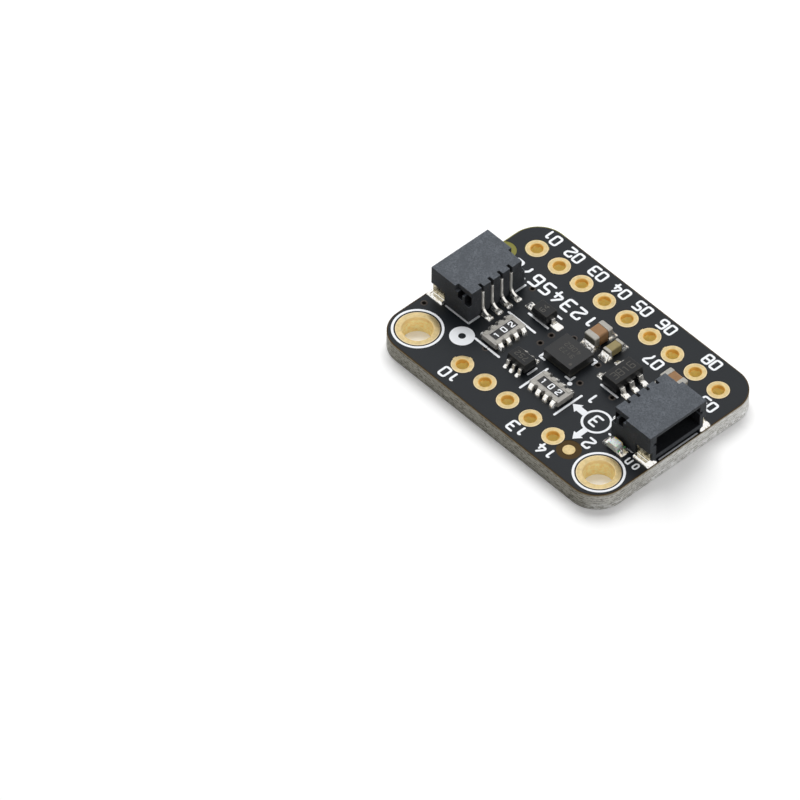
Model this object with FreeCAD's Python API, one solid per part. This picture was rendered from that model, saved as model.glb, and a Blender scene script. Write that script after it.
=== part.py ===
"""Motion sensor module: a small circuit board with two plug sockets. Millimetres, +Z up.

The origin is the centre of the board's underside. +X runs along the long side to the right socket,
+Y runs towards the row of nine pin holes. Each piece is one solid or a group of like solids.
"""
import FreeCAD
import Part
import math
import os

V = FreeCAD.Vector
UP = V(0, 0, 1)
ALONG = V(1, 0, 0)
ACROSS = V(0, 1, 0)

# Cutting tools run this far past what they cut; points closer than touch are the same
past = 1.0
touch = 1e-6

# Board
board_length = 25.0
board_width = 17.78
board_thickness = 1.6
corner_radius = 2.54
pin_pitch = 2.54
pin_row_inset = 2.54
far_row_pins = 9
near_row_pins = 5

# Plated holes: one copper collar each, as wide as its ring and as deep as the board
pin_bore_radius = 0.5
pin_ring_width = 0.4
mounting_bore_radius = 1.25
mounting_ring_width = 0.5
mounting_inset_x = 2.34
mounting_inset_y = 2.54

# Alignment dots: one beside the left socket, one past the end of the near pin row
dot_radius = 0.5
dot_height = 0.02
left_dot_inset = 0.75
left_dot_gap = 0.82
right_dot_pitch = 1.84
right_dot_offset = 0.07

# Solder and the tinned pads that everything stands on
pad_height = 0.05
pad_clearance = 0.03
toe_edge = 0.02
toe_hollow = 0.85

# Plug socket: depth is measured from the rear face to the mouth
socket_setback = 0.25
socket_ways = 4
contact_pitch = 1.0
socket_end_width = 1.5
socket_depth = 4.25
socket_height = 2.95
socket_top_wall = 0.32
socket_floor = 0.7
socket_side_wall = 0.72
socket_rear_wall = 0.85
key_height = 0.3
key_depth = 0.28
key_drop = 0.58
key_length = 2.4
rear_step_length = 1.55
rear_step_width = 0.36
rear_step_drop = 0.5
rear_pocket_inset = 0.3
rear_pocket_length = 0.5
rear_pocket_drop = 1.1
rear_pocket_wall = 0.14
corner_notch_length = 0.5
corner_notch_drop = 1.3
corner_pocket_depth = 0.9
corner_pocket_skin = 0.12
floor_undercut_height = 0.24
floor_undercut_depth = 0.3
tab_recess_length = 1.6
tab_recess_height = 1.2
tab_recess_width = 0.3
contact_sheet = 0.2
contact_leg = 0.24
contact_play = 0.015
contact_slot_depth = 0.45
contact_top_drop = 0.5
contact_proud = 0.09
contact_reach = 1.0
contact_bend = 0.8
contact_pin_low = 1.35
contact_pin_height = 0.3
contact_pin_end = 0.95
contact_tip_chamfer = 0.1
contact_pad_width = 0.6
contact_pad_toe = 0.12
tab_sheet = 0.2
tab_gap = 0.02
tab_length = 1.3
tab_upright = 1.1
tab_foot = 0.42
tab_bend = 0.16
tab_pad_front = 0.2
tab_pad_side = 0.15

# Gaps along X from the left socket's solder, past each chip of a row, to the right socket's solder.
# They are proportions: they share out the room that the board leaves.
far_chip_gaps = (0.53, 1.985, 0.425, 0.29, 0.64)
near_chip_gaps = (0.41, 0.93, 1.02, 3.66)

# Sensor chip
sensor_place = (0.05, 0.05)
sensor_length = 3.0
sensor_width = 2.5
sensor_height = 0.86
land_pitch = 0.5
far_land_count = 4
side_land_count = 3
land_length = 0.45
land_width = 0.25
land_inset = 0.08

# Moulded packages with bent leads
mould_inset = 0.07
mould_lift = 0.05
lead_shoulder = 0.4
lead_pad_heel = 0.1

regulator_y = 1.6
regulator_length = 2.9
regulator_width = 1.6
regulator_height = 1.1
regulator_span = 2.8
regulator_pitch = 0.95
regulator_lead_width = 0.4
regulator_lead_thickness = 0.15
regulator_foot_length = 0.32
regulator_pad_width = 0.55
regulator_pad_toe = 0.38

transistor_y = -3.0
transistor_length = 2.0
transistor_width = 1.25
transistor_height = 0.95
transistor_span = 2.1
transistor_pitch = 0.65
transistor_lead_width = 0.25
transistor_lead_thickness = 0.12
transistor_foot_length = 0.2
transistor_pad_width = 0.38
transistor_pad_toe = 0.25

diode_y = 1.75
diode_length = 1.7
diode_width = 1.25
diode_height = 0.95
diode_span = 2.6
diode_lead_width = 0.35
diode_lead_thickness = 0.12
diode_foot_length = 0.3
diode_pad_width = 0.75
diode_pad_toe = 0.6

# Resistor arrays
left_array_y = -1.87
right_array_y = -3.28
array_turns = {"left": 90, "right": 0}
array_ways = 4
array_pitch = 0.8
array_end = 0.4
array_width = 1.6
array_height = 0.5
array_coat_margin = 0.08
array_coat_width = 0.86
array_coat_height = 0.02
array_notch_width = 0.24
array_notch_depth = 0.1
array_terminal_width = 0.44
array_terminal_reach = 0.3
array_metal = 0.04
array_pad_toe = 0.43
array_toe_height = 0.34

# Chip capacitors; the corner one stands beside the right socket
main_capacitor_y = 3.12
small_capacitor_y = 3.1
corner_capacitor_inset = 4.8
corner_capacitor_gap = 0.185
capacitor_turns = {"main": 90, "corner": 0, "small": 90}
large_capacitor_length = 2.0
large_capacitor_width = 1.25
large_capacitor_height = 1.23
large_capacitor_band = 0.55
small_capacitor_length = 1.6
small_capacitor_width = 0.8
small_capacitor_height = 0.8
small_capacitor_band = 0.3
capacitor_metal = 0.03
capacitor_edge = 0.048
capacitor_pad_toe = 0.5
capacitor_pad_side = 0.12
capacitor_climb = 0.5

# Lamp, beside the right socket
lamp_inset = 3.35
lamp_gap = 0.25
lamp_length = 1.6
lamp_width = 0.8
lamp_base_height = 0.28
lamp_band = 0.28
lamp_metal = 0.03
lamp_lens_gap = 0.02
lamp_lens_height = 0.32
lamp_lens_inset = 0.08
lamp_pad_toe = 0.34
lamp_toe_height = 0.26

# Sizes that follow from the ones above
top = board_thickness
pin_row_y = board_width / 2 - pin_row_inset
socket_width = (socket_ways - 1) * contact_pitch + 2 * socket_end_width
array_length = (array_ways - 1) * array_pitch + 2 * array_end
pin_ring_radius = pin_bore_radius + pin_ring_width
mounting_ring_radius = mounting_bore_radius + mounting_ring_width
tab_middle = socket_width / 2 - tab_recess_width + tab_gap + tab_sheet / 2
tab_foot_edge = tab_middle + tab_foot
tab_recess_start = socket_depth - tab_recess_length
socket_rear = board_length / 2 - socket_setback - socket_depth
socket_solder_end = socket_rear - contact_reach - contact_pad_toe


def block(x0, x1, y0, y1, z0, z1):
    """A box between the given limits."""
    return Part.makeBox(x1 - x0, y1 - y0, z1 - z0, V(x0, y0, z0))


def centred_block(length, width, z0, z1):
    """A box centred on X and Y."""
    return block(-length / 2, length / 2, -width / 2, width / 2, z0, z1)


def disc(radius, z0, z1, place=(0, 0)):
    """An upright cylinder."""
    return Part.makeCylinder(radius, z1 - z0, V(place[0], place[1], z0))


def set_down(shape, place, turn=0):
    """A copy turned about Z and set on the board's top face."""
    piece = shape.copy()
    piece.rotate(V(0, 0, 0), UP, turn)
    piece.translate(V(place[0], place[1], top))
    return piece


def mirrored(shape, normal):
    """The shape's mirror image in the plane through the origin."""
    return shape.mirror(V(0, 0, 0), normal)


def runs_along(edge, way):
    """Whether a straight edge is parallel to the given direction."""
    return edge.tangentAt(edge.FirstParameter).cross(way).Length < touch


def centred_row(count, pitch):
    """Places of a row of like things about its middle."""
    return [(i - (count - 1) / 2) * pitch for i in range(count)]


def rectangle(length, width, z):
    """A closed rectangular wire centred on X and Y."""
    a, b = length / 2, width / 2
    corners = [V(-a, -b, z), V(a, -b, z), V(a, b, z), V(-a, b, z)]
    return Part.makePolygon(corners + corners[:1])


def strip(route, thickness, bend, width):
    """A bent metal strip. Its centre line follows the route in X and Z; its width is along Y."""
    points = [V(x, -width / 2, z) for x, z in route]
    ways = [(b - a).normalize() for a, b in zip(points, points[1:])]
    sides = []
    for sign in (1, -1):
        normals = [V(-way.z, 0, way.x) * sign for way in ways]
        start = points[0] + normals[0] * (thickness / 2)
        here = start
        edges = []
        for i in range(1, len(points) - 1):
            before, after = ways[i - 1], ways[i]
            inward = 1 if after.dot(normals[i - 1]) > 0 else -1
            tangent = points[i] - before * (bend * math.tan(before.getAngle(after) / 2))
            centre = tangent + normals[i - 1] * (bend * inward)
            outward = (points[i] - centre).normalize()
            radius = bend - inward * thickness / 2
            enter = centre - normals[i - 1] * (inward * radius)
            leave = centre - normals[i] * (inward * radius)
            edges.append(Part.LineSegment(here, enter).toShape())
            edges.append(Part.Arc(enter, centre + outward * radius, leave).toShape())
            here = leave
        end = points[-1] + normals[-1] * (thickness / 2)
        edges.append(Part.LineSegment(here, end).toShape())
        sides.append((edges, start, end))
    (left, left_start, left_end), (right, right_start, right_end) = sides
    end_cap = Part.LineSegment(left_end, right_end).toShape()
    start_cap = Part.LineSegment(right_start, left_start).toShape()
    outline = Part.Wire(left + [end_cap] + right[::-1] + [start_cap])
    return Part.Face(outline).extrude(V(0, width, 0))


def prism(corners, width):
    """A straight-sided outline in X and Z, as thick as width along Y."""
    points = [V(x, -width / 2, z) for x, z in corners]
    return Part.Face(Part.makePolygon(points + points[:1])).extrude(V(0, width, 0))


def solder_toe(start, end, climb, width, hollow):
    """A solder fillet along X: a slope from climb at start down to the pad's edge at end."""
    lip = pad_height + toe_edge
    high = max(climb, lip + toe_edge)
    corners = [(start, high), (start, pad_height), (end, pad_height), (end, lip)]
    if not hollow:
        return prism(corners, width)
    run, rise = end - start, high - lip
    lean = math.atan2(rise, abs(run))
    half_turn = toe_hollow * min(lean, math.pi / 2 - lean)
    sag = math.tan(half_turn / 2) / 2
    middle = V(start + run / 2 - rise * sag * math.copysign(1, run), 0, lip + rise / 2 - abs(run) * sag)
    points = [V(x, 0, z) for x, z in corners]
    sides = [Part.LineSegment(a, b).toShape() for a, b in zip(points, points[1:])]
    slope = Part.Arc(points[-1], middle, points[0]).toShape()
    fillet = Part.Face(Part.Wire(sides + [slope])).extrude(V(0, width, 0))
    fillet.translate(V(0, -width / 2, 0))
    return fillet


def soldered_pad(inner, face, outer, climb, pad_width, toe_width, hollow=False):
    """A tinned pad along X from inner to outer, with a fillet that climbs what stands up to face."""
    pad = block(min(inner, outer), max(inner, outer), -pad_width / 2, pad_width / 2, 0, pad_height)
    toe = solder_toe(face, outer, climb, toe_width, hollow)
    return pad.fuse(toe).removeSplitter()


def pin_places():
    """Far row first, left to right, then the near row."""
    far = [(x, pin_row_y) for x in centred_row(far_row_pins, pin_pitch)]
    return far + [(x, -pin_row_y) for x in centred_row(near_row_pins, pin_pitch)]


def mounting_places():
    """Centres of the mounting holes, in the corners of the near side."""
    x = board_length / 2 - mounting_inset_x
    y = mounting_inset_y - board_width / 2
    return {"left": (-x, y), "right": (x, y)}


def dot_places():
    """Centres of the alignment dots."""
    last_pin_x, last_pin_y = pin_places()[-1]
    return {"left": (left_dot_inset - board_length / 2, socket_width / 2 + left_dot_gap + dot_radius),
            "right": (last_pin_x + right_dot_pitch, last_pin_y - right_dot_offset)}


def spread(lengths, gaps):
    """Centres along X of unlike things that share the room between the sockets' solder."""
    ease = (2 * socket_solder_end - sum(lengths)) / sum(gaps)
    edge = -socket_solder_end
    centres = []
    for length, gap in zip(lengths, gaps):
        edge += gap * ease
        centres.append(edge + length / 2)
        edge += length
    return centres


def chip_places():
    """Where each chip of the two rows stands, and the two beside the right socket."""
    diode_x, main_x, small_x, regulator_x = spread(
        (diode_span + 2 * diode_pad_toe, large_capacitor_width + 2 * capacitor_pad_side,
         small_capacitor_width + 2 * capacitor_pad_side, regulator_span + 2 * regulator_pad_toe), far_chip_gaps)
    left_x, transistor_x, right_x = spread(
        (array_width + 2 * (array_metal + array_pad_toe), transistor_length, array_length), near_chip_gaps)
    half_l, beside = board_length / 2, socket_width / 2
    corner_y = beside + corner_capacitor_gap + capacitor_pad_side + large_capacitor_width / 2
    return {
        "diode": (diode_x, diode_y),
        "regulator": (regulator_x, regulator_y),
        "transistor_pair": (transistor_x, transistor_y),
        "left_array": (left_x, left_array_y),
        "right_array": (right_x, right_array_y),
        "main": (main_x, main_capacitor_y),
        "corner": (half_l - corner_capacitor_inset, corner_y),
        "small": (small_x, small_capacitor_y),
        "lamp": (half_l - lamp_inset, -beside - lamp_gap - lamp_width / 2),
    }


def circuit_board():
    """The drilled board: a slab with round corners."""
    board = centred_block(board_length, board_width, 0, top)
    upright = [edge for edge in board.Edges if runs_along(edge, UP)]
    board = board.makeFillet(corner_radius, upright)
    for place in pin_places():
        board = board.cut(disc(pin_ring_radius, -past, top + past, place))
    for place in mounting_places().values():
        board = board.cut(disc(mounting_ring_radius, -past, top + past, place))
    return board


def plated_hole(bore, ring, place):
    """Copper collar, flush with both faces of the board."""
    return disc(ring, 0, top, place).cut(disc(bore, -past, top + past, place))


def socket_housing():
    """Moulded housing: rear face at X = 0, mouth towards +X, on the board at Z = 0."""
    half = socket_width / 2
    mouth = half - socket_side_wall
    roof = socket_height - socket_top_wall
    body = block(0, socket_depth, -half, half, 0, socket_height)
    above, front = socket_height + past, socket_depth + past
    cuts = [block(socket_rear_wall, front, -mouth, mouth, socket_floor, roof)]
    key_top = roof - key_drop
    key_start = socket_depth - key_length
    key_side = mouth + key_depth
    cuts.append(block(key_start, front, -key_side, key_side, key_top - key_height, key_top))
    cuts.append(block(socket_depth - floor_undercut_depth, front, -mouth, mouth, -past, floor_undercut_height))
    pocket_end = rear_step_length - rear_pocket_inset
    step_side = half - rear_step_width
    step_floor = socket_height - rear_step_drop
    notch_floor = socket_height - corner_notch_drop
    side_cuts = (
        block(-past, rear_step_length, step_side, half + past, step_floor, above),
        block(pocket_end - rear_pocket_length, pocket_end, mouth + rear_pocket_wall, half + past,
              socket_height - rear_pocket_drop, step_floor),
        block(-past, corner_notch_length, step_side, half + past, notch_floor, above),
        block(corner_pocket_skin, corner_notch_length, half - corner_pocket_depth, half + past, notch_floor,
              step_floor),
        block(tab_recess_start, front, half - tab_recess_width, half + past, -past, tab_recess_height),
    )
    for cut in side_cuts:
        cuts += [cut, mirrored(cut, ACROSS)]
    slot = contact_sheet / 2 + contact_play
    for y in contact_rows():
        cuts.append(block(-past, contact_slot_depth, y - slot, y + slot, -past, above))
        cuts.append(block(0, socket_rear_wall + touch, y - slot, y + slot,
                          contact_pin_low - contact_play, contact_pin_low + contact_pin_height + contact_play))
    for cut in cuts:
        body = body.cut(cut)
    return body.removeSplitter()


def contact_rows():
    """Y of each contact."""
    return centred_row(socket_ways, contact_pitch)


def socket_contact(y):
    """Blanked contact: a leg down the rear face, a foot on the pad and a pin in the mouth."""
    leg_x = contact_leg / 2 - contact_proud
    foot_z = pad_height + contact_leg / 2
    leg_top = socket_height - contact_top_drop
    leg = strip([(leg_x, leg_top), (leg_x, foot_z), (-contact_reach, foot_z)],
                contact_leg, contact_bend, contact_sheet)
    pin_tip = socket_depth - contact_pin_end
    pin = block(leg_x, pin_tip, -contact_sheet / 2, contact_sheet / 2,
                contact_pin_low, contact_pin_low + contact_pin_height)
    tip_edges = [edge for edge in pin.Edges
                 if abs(edge.CenterOfMass.x - pin_tip) < touch and runs_along(edge, ACROSS)]
    pin = pin.makeChamfer(contact_tip_chamfer, tip_edges)
    contact = leg.fuse(pin).removeSplitter()
    contact.translate(V(0, y, 0))
    return contact


def socket_tab(side):
    """Folded metal tab that stands in the housing's side recess, its foot bent outwards."""
    foot_z = pad_height + tab_sheet / 2
    route = [(tab_middle, pad_height + tab_upright), (tab_middle, foot_z), (tab_foot_edge, foot_z)]
    tab = strip(route, tab_sheet, tab_bend, tab_length)
    tab.rotate(V(0, 0, 0), UP, 90)
    tab.translate(V(tab_recess_start + tab_recess_length / 2, 0, 0))
    return tab if side > 0 else mirrored(tab, ACROSS)


def socket_solder():
    """Tinned pads and solder at the four feet and the two tabs."""
    joints = []
    foot_end = -contact_reach
    for y in contact_rows():
        joint = soldered_pad(-pad_clearance, foot_end, foot_end - contact_pad_toe,
                             pad_height + contact_leg, contact_pad_width, contact_sheet)
        joint.translate(V(0, y, 0))
        joints.append(joint)
    wall = socket_width / 2 - tab_recess_width + pad_clearance
    outer = tab_foot_edge + tab_pad_side
    front = socket_depth + tab_pad_front
    pad = block(tab_recess_start + pad_clearance, front, wall, outer, 0, pad_height)
    lip = block(socket_depth + pad_clearance, front, socket_width / 2 - socket_side_wall, outer, 0, pad_height)
    toe = solder_toe(tab_foot_edge, outer, pad_height + tab_sheet, tab_length, False)
    toe.rotate(V(0, 0, 0), UP, 90)
    toe.translate(V(tab_recess_start + tab_recess_length / 2, 0, 0))
    joint = pad.multiFuse([lip, toe]).removeSplitter()
    return joints + [joint, mirrored(joint, ACROSS)]


def put_socket(shape, end):
    """Set a socket piece at the left or the right end of the board."""
    if end == "right":
        return set_down(shape, (socket_rear, 0))
    return set_down(shape, (-socket_rear, 0), 180)


def moulded_body(length, width, height, lead_thickness):
    """A moulded package along Y: an upright seam band, above and below which the sides draw in."""
    narrow = (width - 2 * mould_inset, length - 2 * mould_inset)
    low, high = pad_height + mould_lift, pad_height + height
    seam_low = pad_height + height / 2 - lead_thickness / 2
    seam_high = seam_low + lead_thickness
    lower = Part.makeLoft([rectangle(*narrow, low), rectangle(width, length, seam_low)], True)
    band = centred_block(width, length, seam_low, seam_high)
    upper = Part.makeLoft([rectangle(width, length, seam_high), rectangle(*narrow, high)], True)
    return lower.multiFuse([band, upper]).removeSplitter()


def bent_lead(body_width, span, height, thickness, width, foot_length):
    """A gull-wing lead along +X, from the body's seam to the end of its foot."""
    seam = pad_height + height / 2
    low, high = seam - thickness / 2, seam + thickness / 2
    start, end = body_width / 2, span / 2
    knee = end - foot_length
    flat = start + (knee - start) * lead_shoulder
    sole, instep = pad_height, pad_height + thickness
    corners = [(start, low), (flat, low), (knee, sole), (end, sole)]
    corners += [(end, instep), (knee + thickness, instep), (flat + thickness, high), (start, high)]
    return prism(corners, width)


def leaded_package(place, turn, body, lead, spots):
    """Body, leads and solder of one moulded package; each spot is a lead's Y and side."""
    length, width, height = body
    span, thickness, lead_width, foot_length, pad_width, pad_toe = lead
    metal, solder = [], []
    end = span / 2
    inner = end - foot_length - lead_pad_heel
    for y, side in spots:
        piece = bent_lead(width, span, height, thickness, lead_width, foot_length)
        joint = soldered_pad(inner, end, end + pad_toe, pad_height + thickness, pad_width, lead_width)
        for shape, group in ((piece, metal), (joint, solder)):
            shape.translate(V(0, y, 0))
            if side < 0:
                shape = mirrored(shape, ALONG)
            group.append(set_down(shape, place, turn))
    case = set_down(moulded_body(length, width, height, thickness), place, turn)
    return case, metal, solder


def regulator(place):
    """Five-lead package: three leads towards +X, two towards -X."""
    row = centred_row(3, regulator_pitch)
    spots = [(y, 1) for y in row] + [(y, -1) for y in (row[0], row[-1])]
    body = (regulator_length, regulator_width, regulator_height)
    lead = (regulator_span, regulator_lead_thickness, regulator_lead_width, regulator_foot_length,
            regulator_pad_width, regulator_pad_toe)
    return leaded_package(place, 0, body, lead, spots)


def transistor_pair(place):
    """Six-lead package, three leads on each long side."""
    spots = [(y, side) for side in (-1, 1) for y in centred_row(3, transistor_pitch)]
    body = (transistor_length, transistor_width, transistor_height)
    lead = (transistor_span, transistor_lead_thickness, transistor_lead_width, transistor_foot_length,
            transistor_pad_width, transistor_pad_toe)
    return leaded_package(place, 90, body, lead, spots)


def diode(place):
    """Two-lead package along X."""
    body = (diode_width, diode_length, diode_height)
    lead = (diode_span, diode_lead_thickness, diode_lead_width, diode_foot_length,
            diode_pad_width, diode_pad_toe)
    return leaded_package(place, 0, body, lead, [(0, -1), (0, 1)])


def sensor():
    """Leadless sensor chip and the contact lands beneath it."""
    body = centred_block(sensor_length, sensor_width, pad_height, pad_height + sensor_height)
    lands = []
    half = land_width / 2
    end_x = sensor_length / 2 - land_inset
    end_y = sensor_width / 2 - land_inset
    for x in centred_row(far_land_count, land_pitch):
        land = block(x - half, x + half, end_y - land_length, end_y, 0, pad_height)
        lands += [land, mirrored(land, ACROSS)]
    for y in centred_row(side_land_count, land_pitch):
        land = block(end_x - land_length, end_x, y - half, y + half, 0, pad_height)
        lands += [land, mirrored(land, ALONG)]
    return set_down(body, sensor_place), [set_down(land, sensor_place) for land in lands]


def wrapped_end(core, x0, x1, y0, y1, z0, z1):
    """Metal that wraps a core: the box between the limits, less the core."""
    return block(x0, x1, y0, y1, z0, z1).cut(core)


def resistor_array(place, turn):
    """Ceramic block with four resistors: body, wrapped terminals and solder."""
    low = pad_height + array_metal
    high = low + array_height
    half_l, half_w = array_length / 2, array_width / 2
    core = centred_block(array_length, array_width, low, high)
    body = core.copy()
    for middle in centred_row(array_ways - 1, array_pitch):
        notch = block(middle - array_notch_width / 2, middle + array_notch_width / 2,
                      half_w - array_notch_depth, half_w + past, low - past, high + past)
        body = body.cut(notch).cut(mirrored(notch, ACROSS))
    coat = centred_block(array_length - 2 * array_coat_margin, array_coat_width, high, high + array_coat_height)
    body = body.fuse(coat).removeSplitter()
    metal, solder = [], []
    y0, y1 = half_w - array_terminal_reach, half_w + array_metal
    for x in centred_row(array_ways, array_pitch):
        wrap = wrapped_end(core, x - array_terminal_width / 2, x + array_terminal_width / 2, y0, y1,
                           low - array_metal, high + array_metal)
        joint = soldered_pad(y0, y1, y1 + array_pad_toe, array_toe_height, array_terminal_width,
                             array_terminal_width)
        joint.rotate(V(0, 0, 0), UP, 90)
        joint.translate(V(x, 0, 0))
        for shape, group in ((wrap, metal), (joint, solder)):
            group += [set_down(shape, place, turn), set_down(mirrored(shape, ACROSS), place, turn)]
    return set_down(body, place, turn), metal, solder


def end_joints(half_length, band, pad_toe, pad_width, toe_height, toe_width, place, turn):
    """The two soldered pads of a chip with metal ends along X."""
    joint = soldered_pad(half_length - band, half_length, half_length + pad_toe, toe_height,
                         pad_width, toe_width, True)
    return [set_down(joint, place, turn), set_down(mirrored(joint, ALONG), place, turn)]


def chip_capacitor(size, band, place, turn):
    """Ceramic block along X with a metal cup on each end: body, cups and solder."""
    length, width, height = size
    half_l, half_w = length / 2, width / 2
    low, high = pad_height, pad_height + height
    core = centred_block(length - 2 * capacitor_metal, width - 2 * capacitor_metal,
                         low + capacitor_metal, high - capacitor_metal)
    cup = block(half_l - band, half_l, -half_w, half_w, low, high)
    rim = [edge for edge in cup.Edges if abs(edge.CenterOfMass.x - half_l + band) > touch]
    cup = cup.makeChamfer(capacitor_edge, rim).cut(core)
    cups = [set_down(cup, place, turn), set_down(mirrored(cup, ALONG), place, turn)]
    climb = pad_height + height * capacitor_climb
    solder = end_joints(half_l, band, capacitor_pad_toe, width + 2 * capacitor_pad_side, climb,
                        width, place, turn)
    return set_down(core, place, turn), cups, solder


def lamp(place):
    """Chip lamp: base, tapered clear lens, wrapped metal ends and solder."""
    half = lamp_length / 2
    low = pad_height + lamp_metal
    high = low + lamp_base_height
    base = centred_block(lamp_length - 2 * lamp_metal, lamp_width, low, high)
    end = wrapped_end(base, half - lamp_band, half, -lamp_width / 2, lamp_width / 2,
                      pad_height, high + lamp_metal)
    ends = [set_down(end, place), set_down(mirrored(end, ALONG), place)]
    foot = lamp_length - 2 * (lamp_band + lamp_lens_gap)
    crown = foot - 2 * lamp_lens_inset
    lens = Part.makeLoft([rectangle(foot, lamp_width, high),
                          rectangle(crown, lamp_width - lamp_lens_inset, high + lamp_lens_height)], True)
    solder = end_joints(half, lamp_band, lamp_pad_toe, lamp_width, lamp_toe_height, lamp_width, place, 0)
    return set_down(base, place), set_down(lens, place), ends, solder


def save(name, shapes):
    """Write one node: a solid, or a group of like solids."""
    shapes = shapes if isinstance(shapes, list) else [shapes]
    solids = [solid for shape in shapes for solid in shape.Solids]
    node = solids[0] if len(solids) == 1 else Part.makeCompound(solids)
    if not node.isValid():
        raise ValueError(name + " is not valid")
    node.exportStep("parts/" + name + ".step")


def save_sockets():
    """Both plug sockets; the left one is the right one turned half way round."""
    housing = socket_housing()
    contacts = [socket_contact(y) for y in contact_rows()]
    solder = socket_solder()
    for end, near_side in (("left", 1), ("right", -1)):
        save(end + "_socket_housing", put_socket(housing, end))
        for number, contact in enumerate(contacts, 1):
            save(f"{end}_socket_contact_{number}", put_socket(contact, end))
        save(end + "_socket_tab_near", put_socket(socket_tab(near_side), end))
        save(end + "_socket_tab_far", put_socket(socket_tab(-near_side), end))
        save(f"solder_{end}_socket", [put_socket(joint, end) for joint in solder])


def save_board():
    """The board with everything plated on it."""
    save("circuit_board", circuit_board())
    for number, place in enumerate(pin_places(), 1):
        save(f"pin_hole_{number:02d}", plated_hole(pin_bore_radius, pin_ring_radius, place))
    for side, place in mounting_places().items():
        save("mounting_eyelet_" + side, plated_hole(mounting_bore_radius, mounting_ring_radius, place))
    for side, place in dot_places().items():
        save("alignment_dot_" + side, set_down(disc(dot_radius, 0, dot_height), place))


def save_leaded(places):
    """The moulded packages, with their solder together in one node."""
    joints = []
    for name, package in (("regulator", regulator), ("transistor_pair", transistor_pair), ("diode", diode)):
        case, metal, solder = package(places[name])
        save(name + "_body", case)
        save(name + "_leads", metal)
        joints += solder
    save("solder_leads", joints)


def save_chips(places):
    """Sensor, resistor arrays, capacitors and lamp."""
    body, lands = sensor()
    save("sensor_body", body)
    save("sensor_lands", lands)
    joints = []
    for side, turn in array_turns.items():
        body, metal, solder = resistor_array(places[side + "_array"], turn)
        save(f"resistor_array_{side}_body", body)
        save(f"resistor_array_{side}_terminals", metal)
        joints += solder
    save("solder_arrays", joints)
    joints = []
    large = (large_capacitor_length, large_capacitor_width, large_capacitor_height)
    small = (small_capacitor_length, small_capacitor_width, small_capacitor_height)
    for name, turn in capacitor_turns.items():
        size, band = (small, small_capacitor_band) if name == "small" else (large, large_capacitor_band)
        core, cups, solder = chip_capacitor(size, band, places[name], turn)
        save(name + "_capacitor_body", core)
        save(name + "_capacitor_ends", cups)
        joints += solder
    base, lens, ends, solder = lamp(places["lamp"])
    save("lamp_base", base)
    save("lamp_lens", lens)
    save("lamp_ends", ends)
    save("solder_chip_ends", joints + solder)


def main():
    """Build and write every node."""
    os.makedirs("parts", exist_ok=True)
    save_board()
    save_sockets()
    places = chip_places()
    save_leaded(places)
    save_chips(places)


main()
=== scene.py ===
"""Looks of a small motion sensor board, built around its packed frame.

The board is dressed from the laminate up: mask, plating, print, plug sockets, chips and solder.
Everything is in metres, in the frame's own axes: +X to the socket beside the lamp, +Z up.
"""
import math
import random

import bmesh
import bpy
from bpy.props import FloatProperty, FloatVectorProperty, IntProperty, PointerProperty
from mathutils import Matrix, Vector, noise


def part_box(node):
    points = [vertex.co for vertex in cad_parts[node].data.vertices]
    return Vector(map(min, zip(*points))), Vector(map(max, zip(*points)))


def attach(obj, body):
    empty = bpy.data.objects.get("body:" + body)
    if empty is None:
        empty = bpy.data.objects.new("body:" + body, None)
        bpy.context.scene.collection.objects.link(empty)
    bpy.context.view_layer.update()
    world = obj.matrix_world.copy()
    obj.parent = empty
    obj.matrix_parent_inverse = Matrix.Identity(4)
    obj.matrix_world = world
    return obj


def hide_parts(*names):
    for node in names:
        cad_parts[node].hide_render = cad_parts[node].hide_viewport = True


bl_info = {
    "name": "Sensor Board Looks",
    "version": (1, 0, 0),
    "blender": (4, 5, 0),
    "location": "3D View > Sidebar > Sensor Board",
    "description": "Dresses the frame of a small sensor board with mask, plating, print, chips and solder",
    "category": "Object",
}

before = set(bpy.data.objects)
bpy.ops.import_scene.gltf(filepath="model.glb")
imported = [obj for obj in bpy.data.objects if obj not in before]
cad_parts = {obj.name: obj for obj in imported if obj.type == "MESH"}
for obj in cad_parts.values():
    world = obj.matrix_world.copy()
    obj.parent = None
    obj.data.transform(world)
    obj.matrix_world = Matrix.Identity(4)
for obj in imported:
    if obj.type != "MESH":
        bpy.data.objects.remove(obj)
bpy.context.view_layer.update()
MM = 0.001
BOARD_LOW, BOARD_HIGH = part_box("circuit_board")
TOP = BOARD_HIGH.z
ROUND = 2 * math.pi
QUARTER = math.pi / 2
PIN_HOLES = sorted(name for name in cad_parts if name.startswith("pin_hole_"))
EYELETS = sorted(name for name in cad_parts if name.startswith("mounting_eyelet_"))


def middle(node):
    """Centre of a node's box."""
    low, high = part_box(node)
    return (low + high) / 2


# Sizes and colours that a user would change


def size(name, text, default, low=0.0):
    """A length in metres."""
    return FloatProperty(name=name, description=text, default=default, min=low, unit="LENGTH", precision=6)


def colour(name, text, default):
    """A linear colour."""
    return FloatVectorProperty(name=name, description=text, default=default, size=3, min=0.0, max=1.0,
                               subtype="COLOR")


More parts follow.
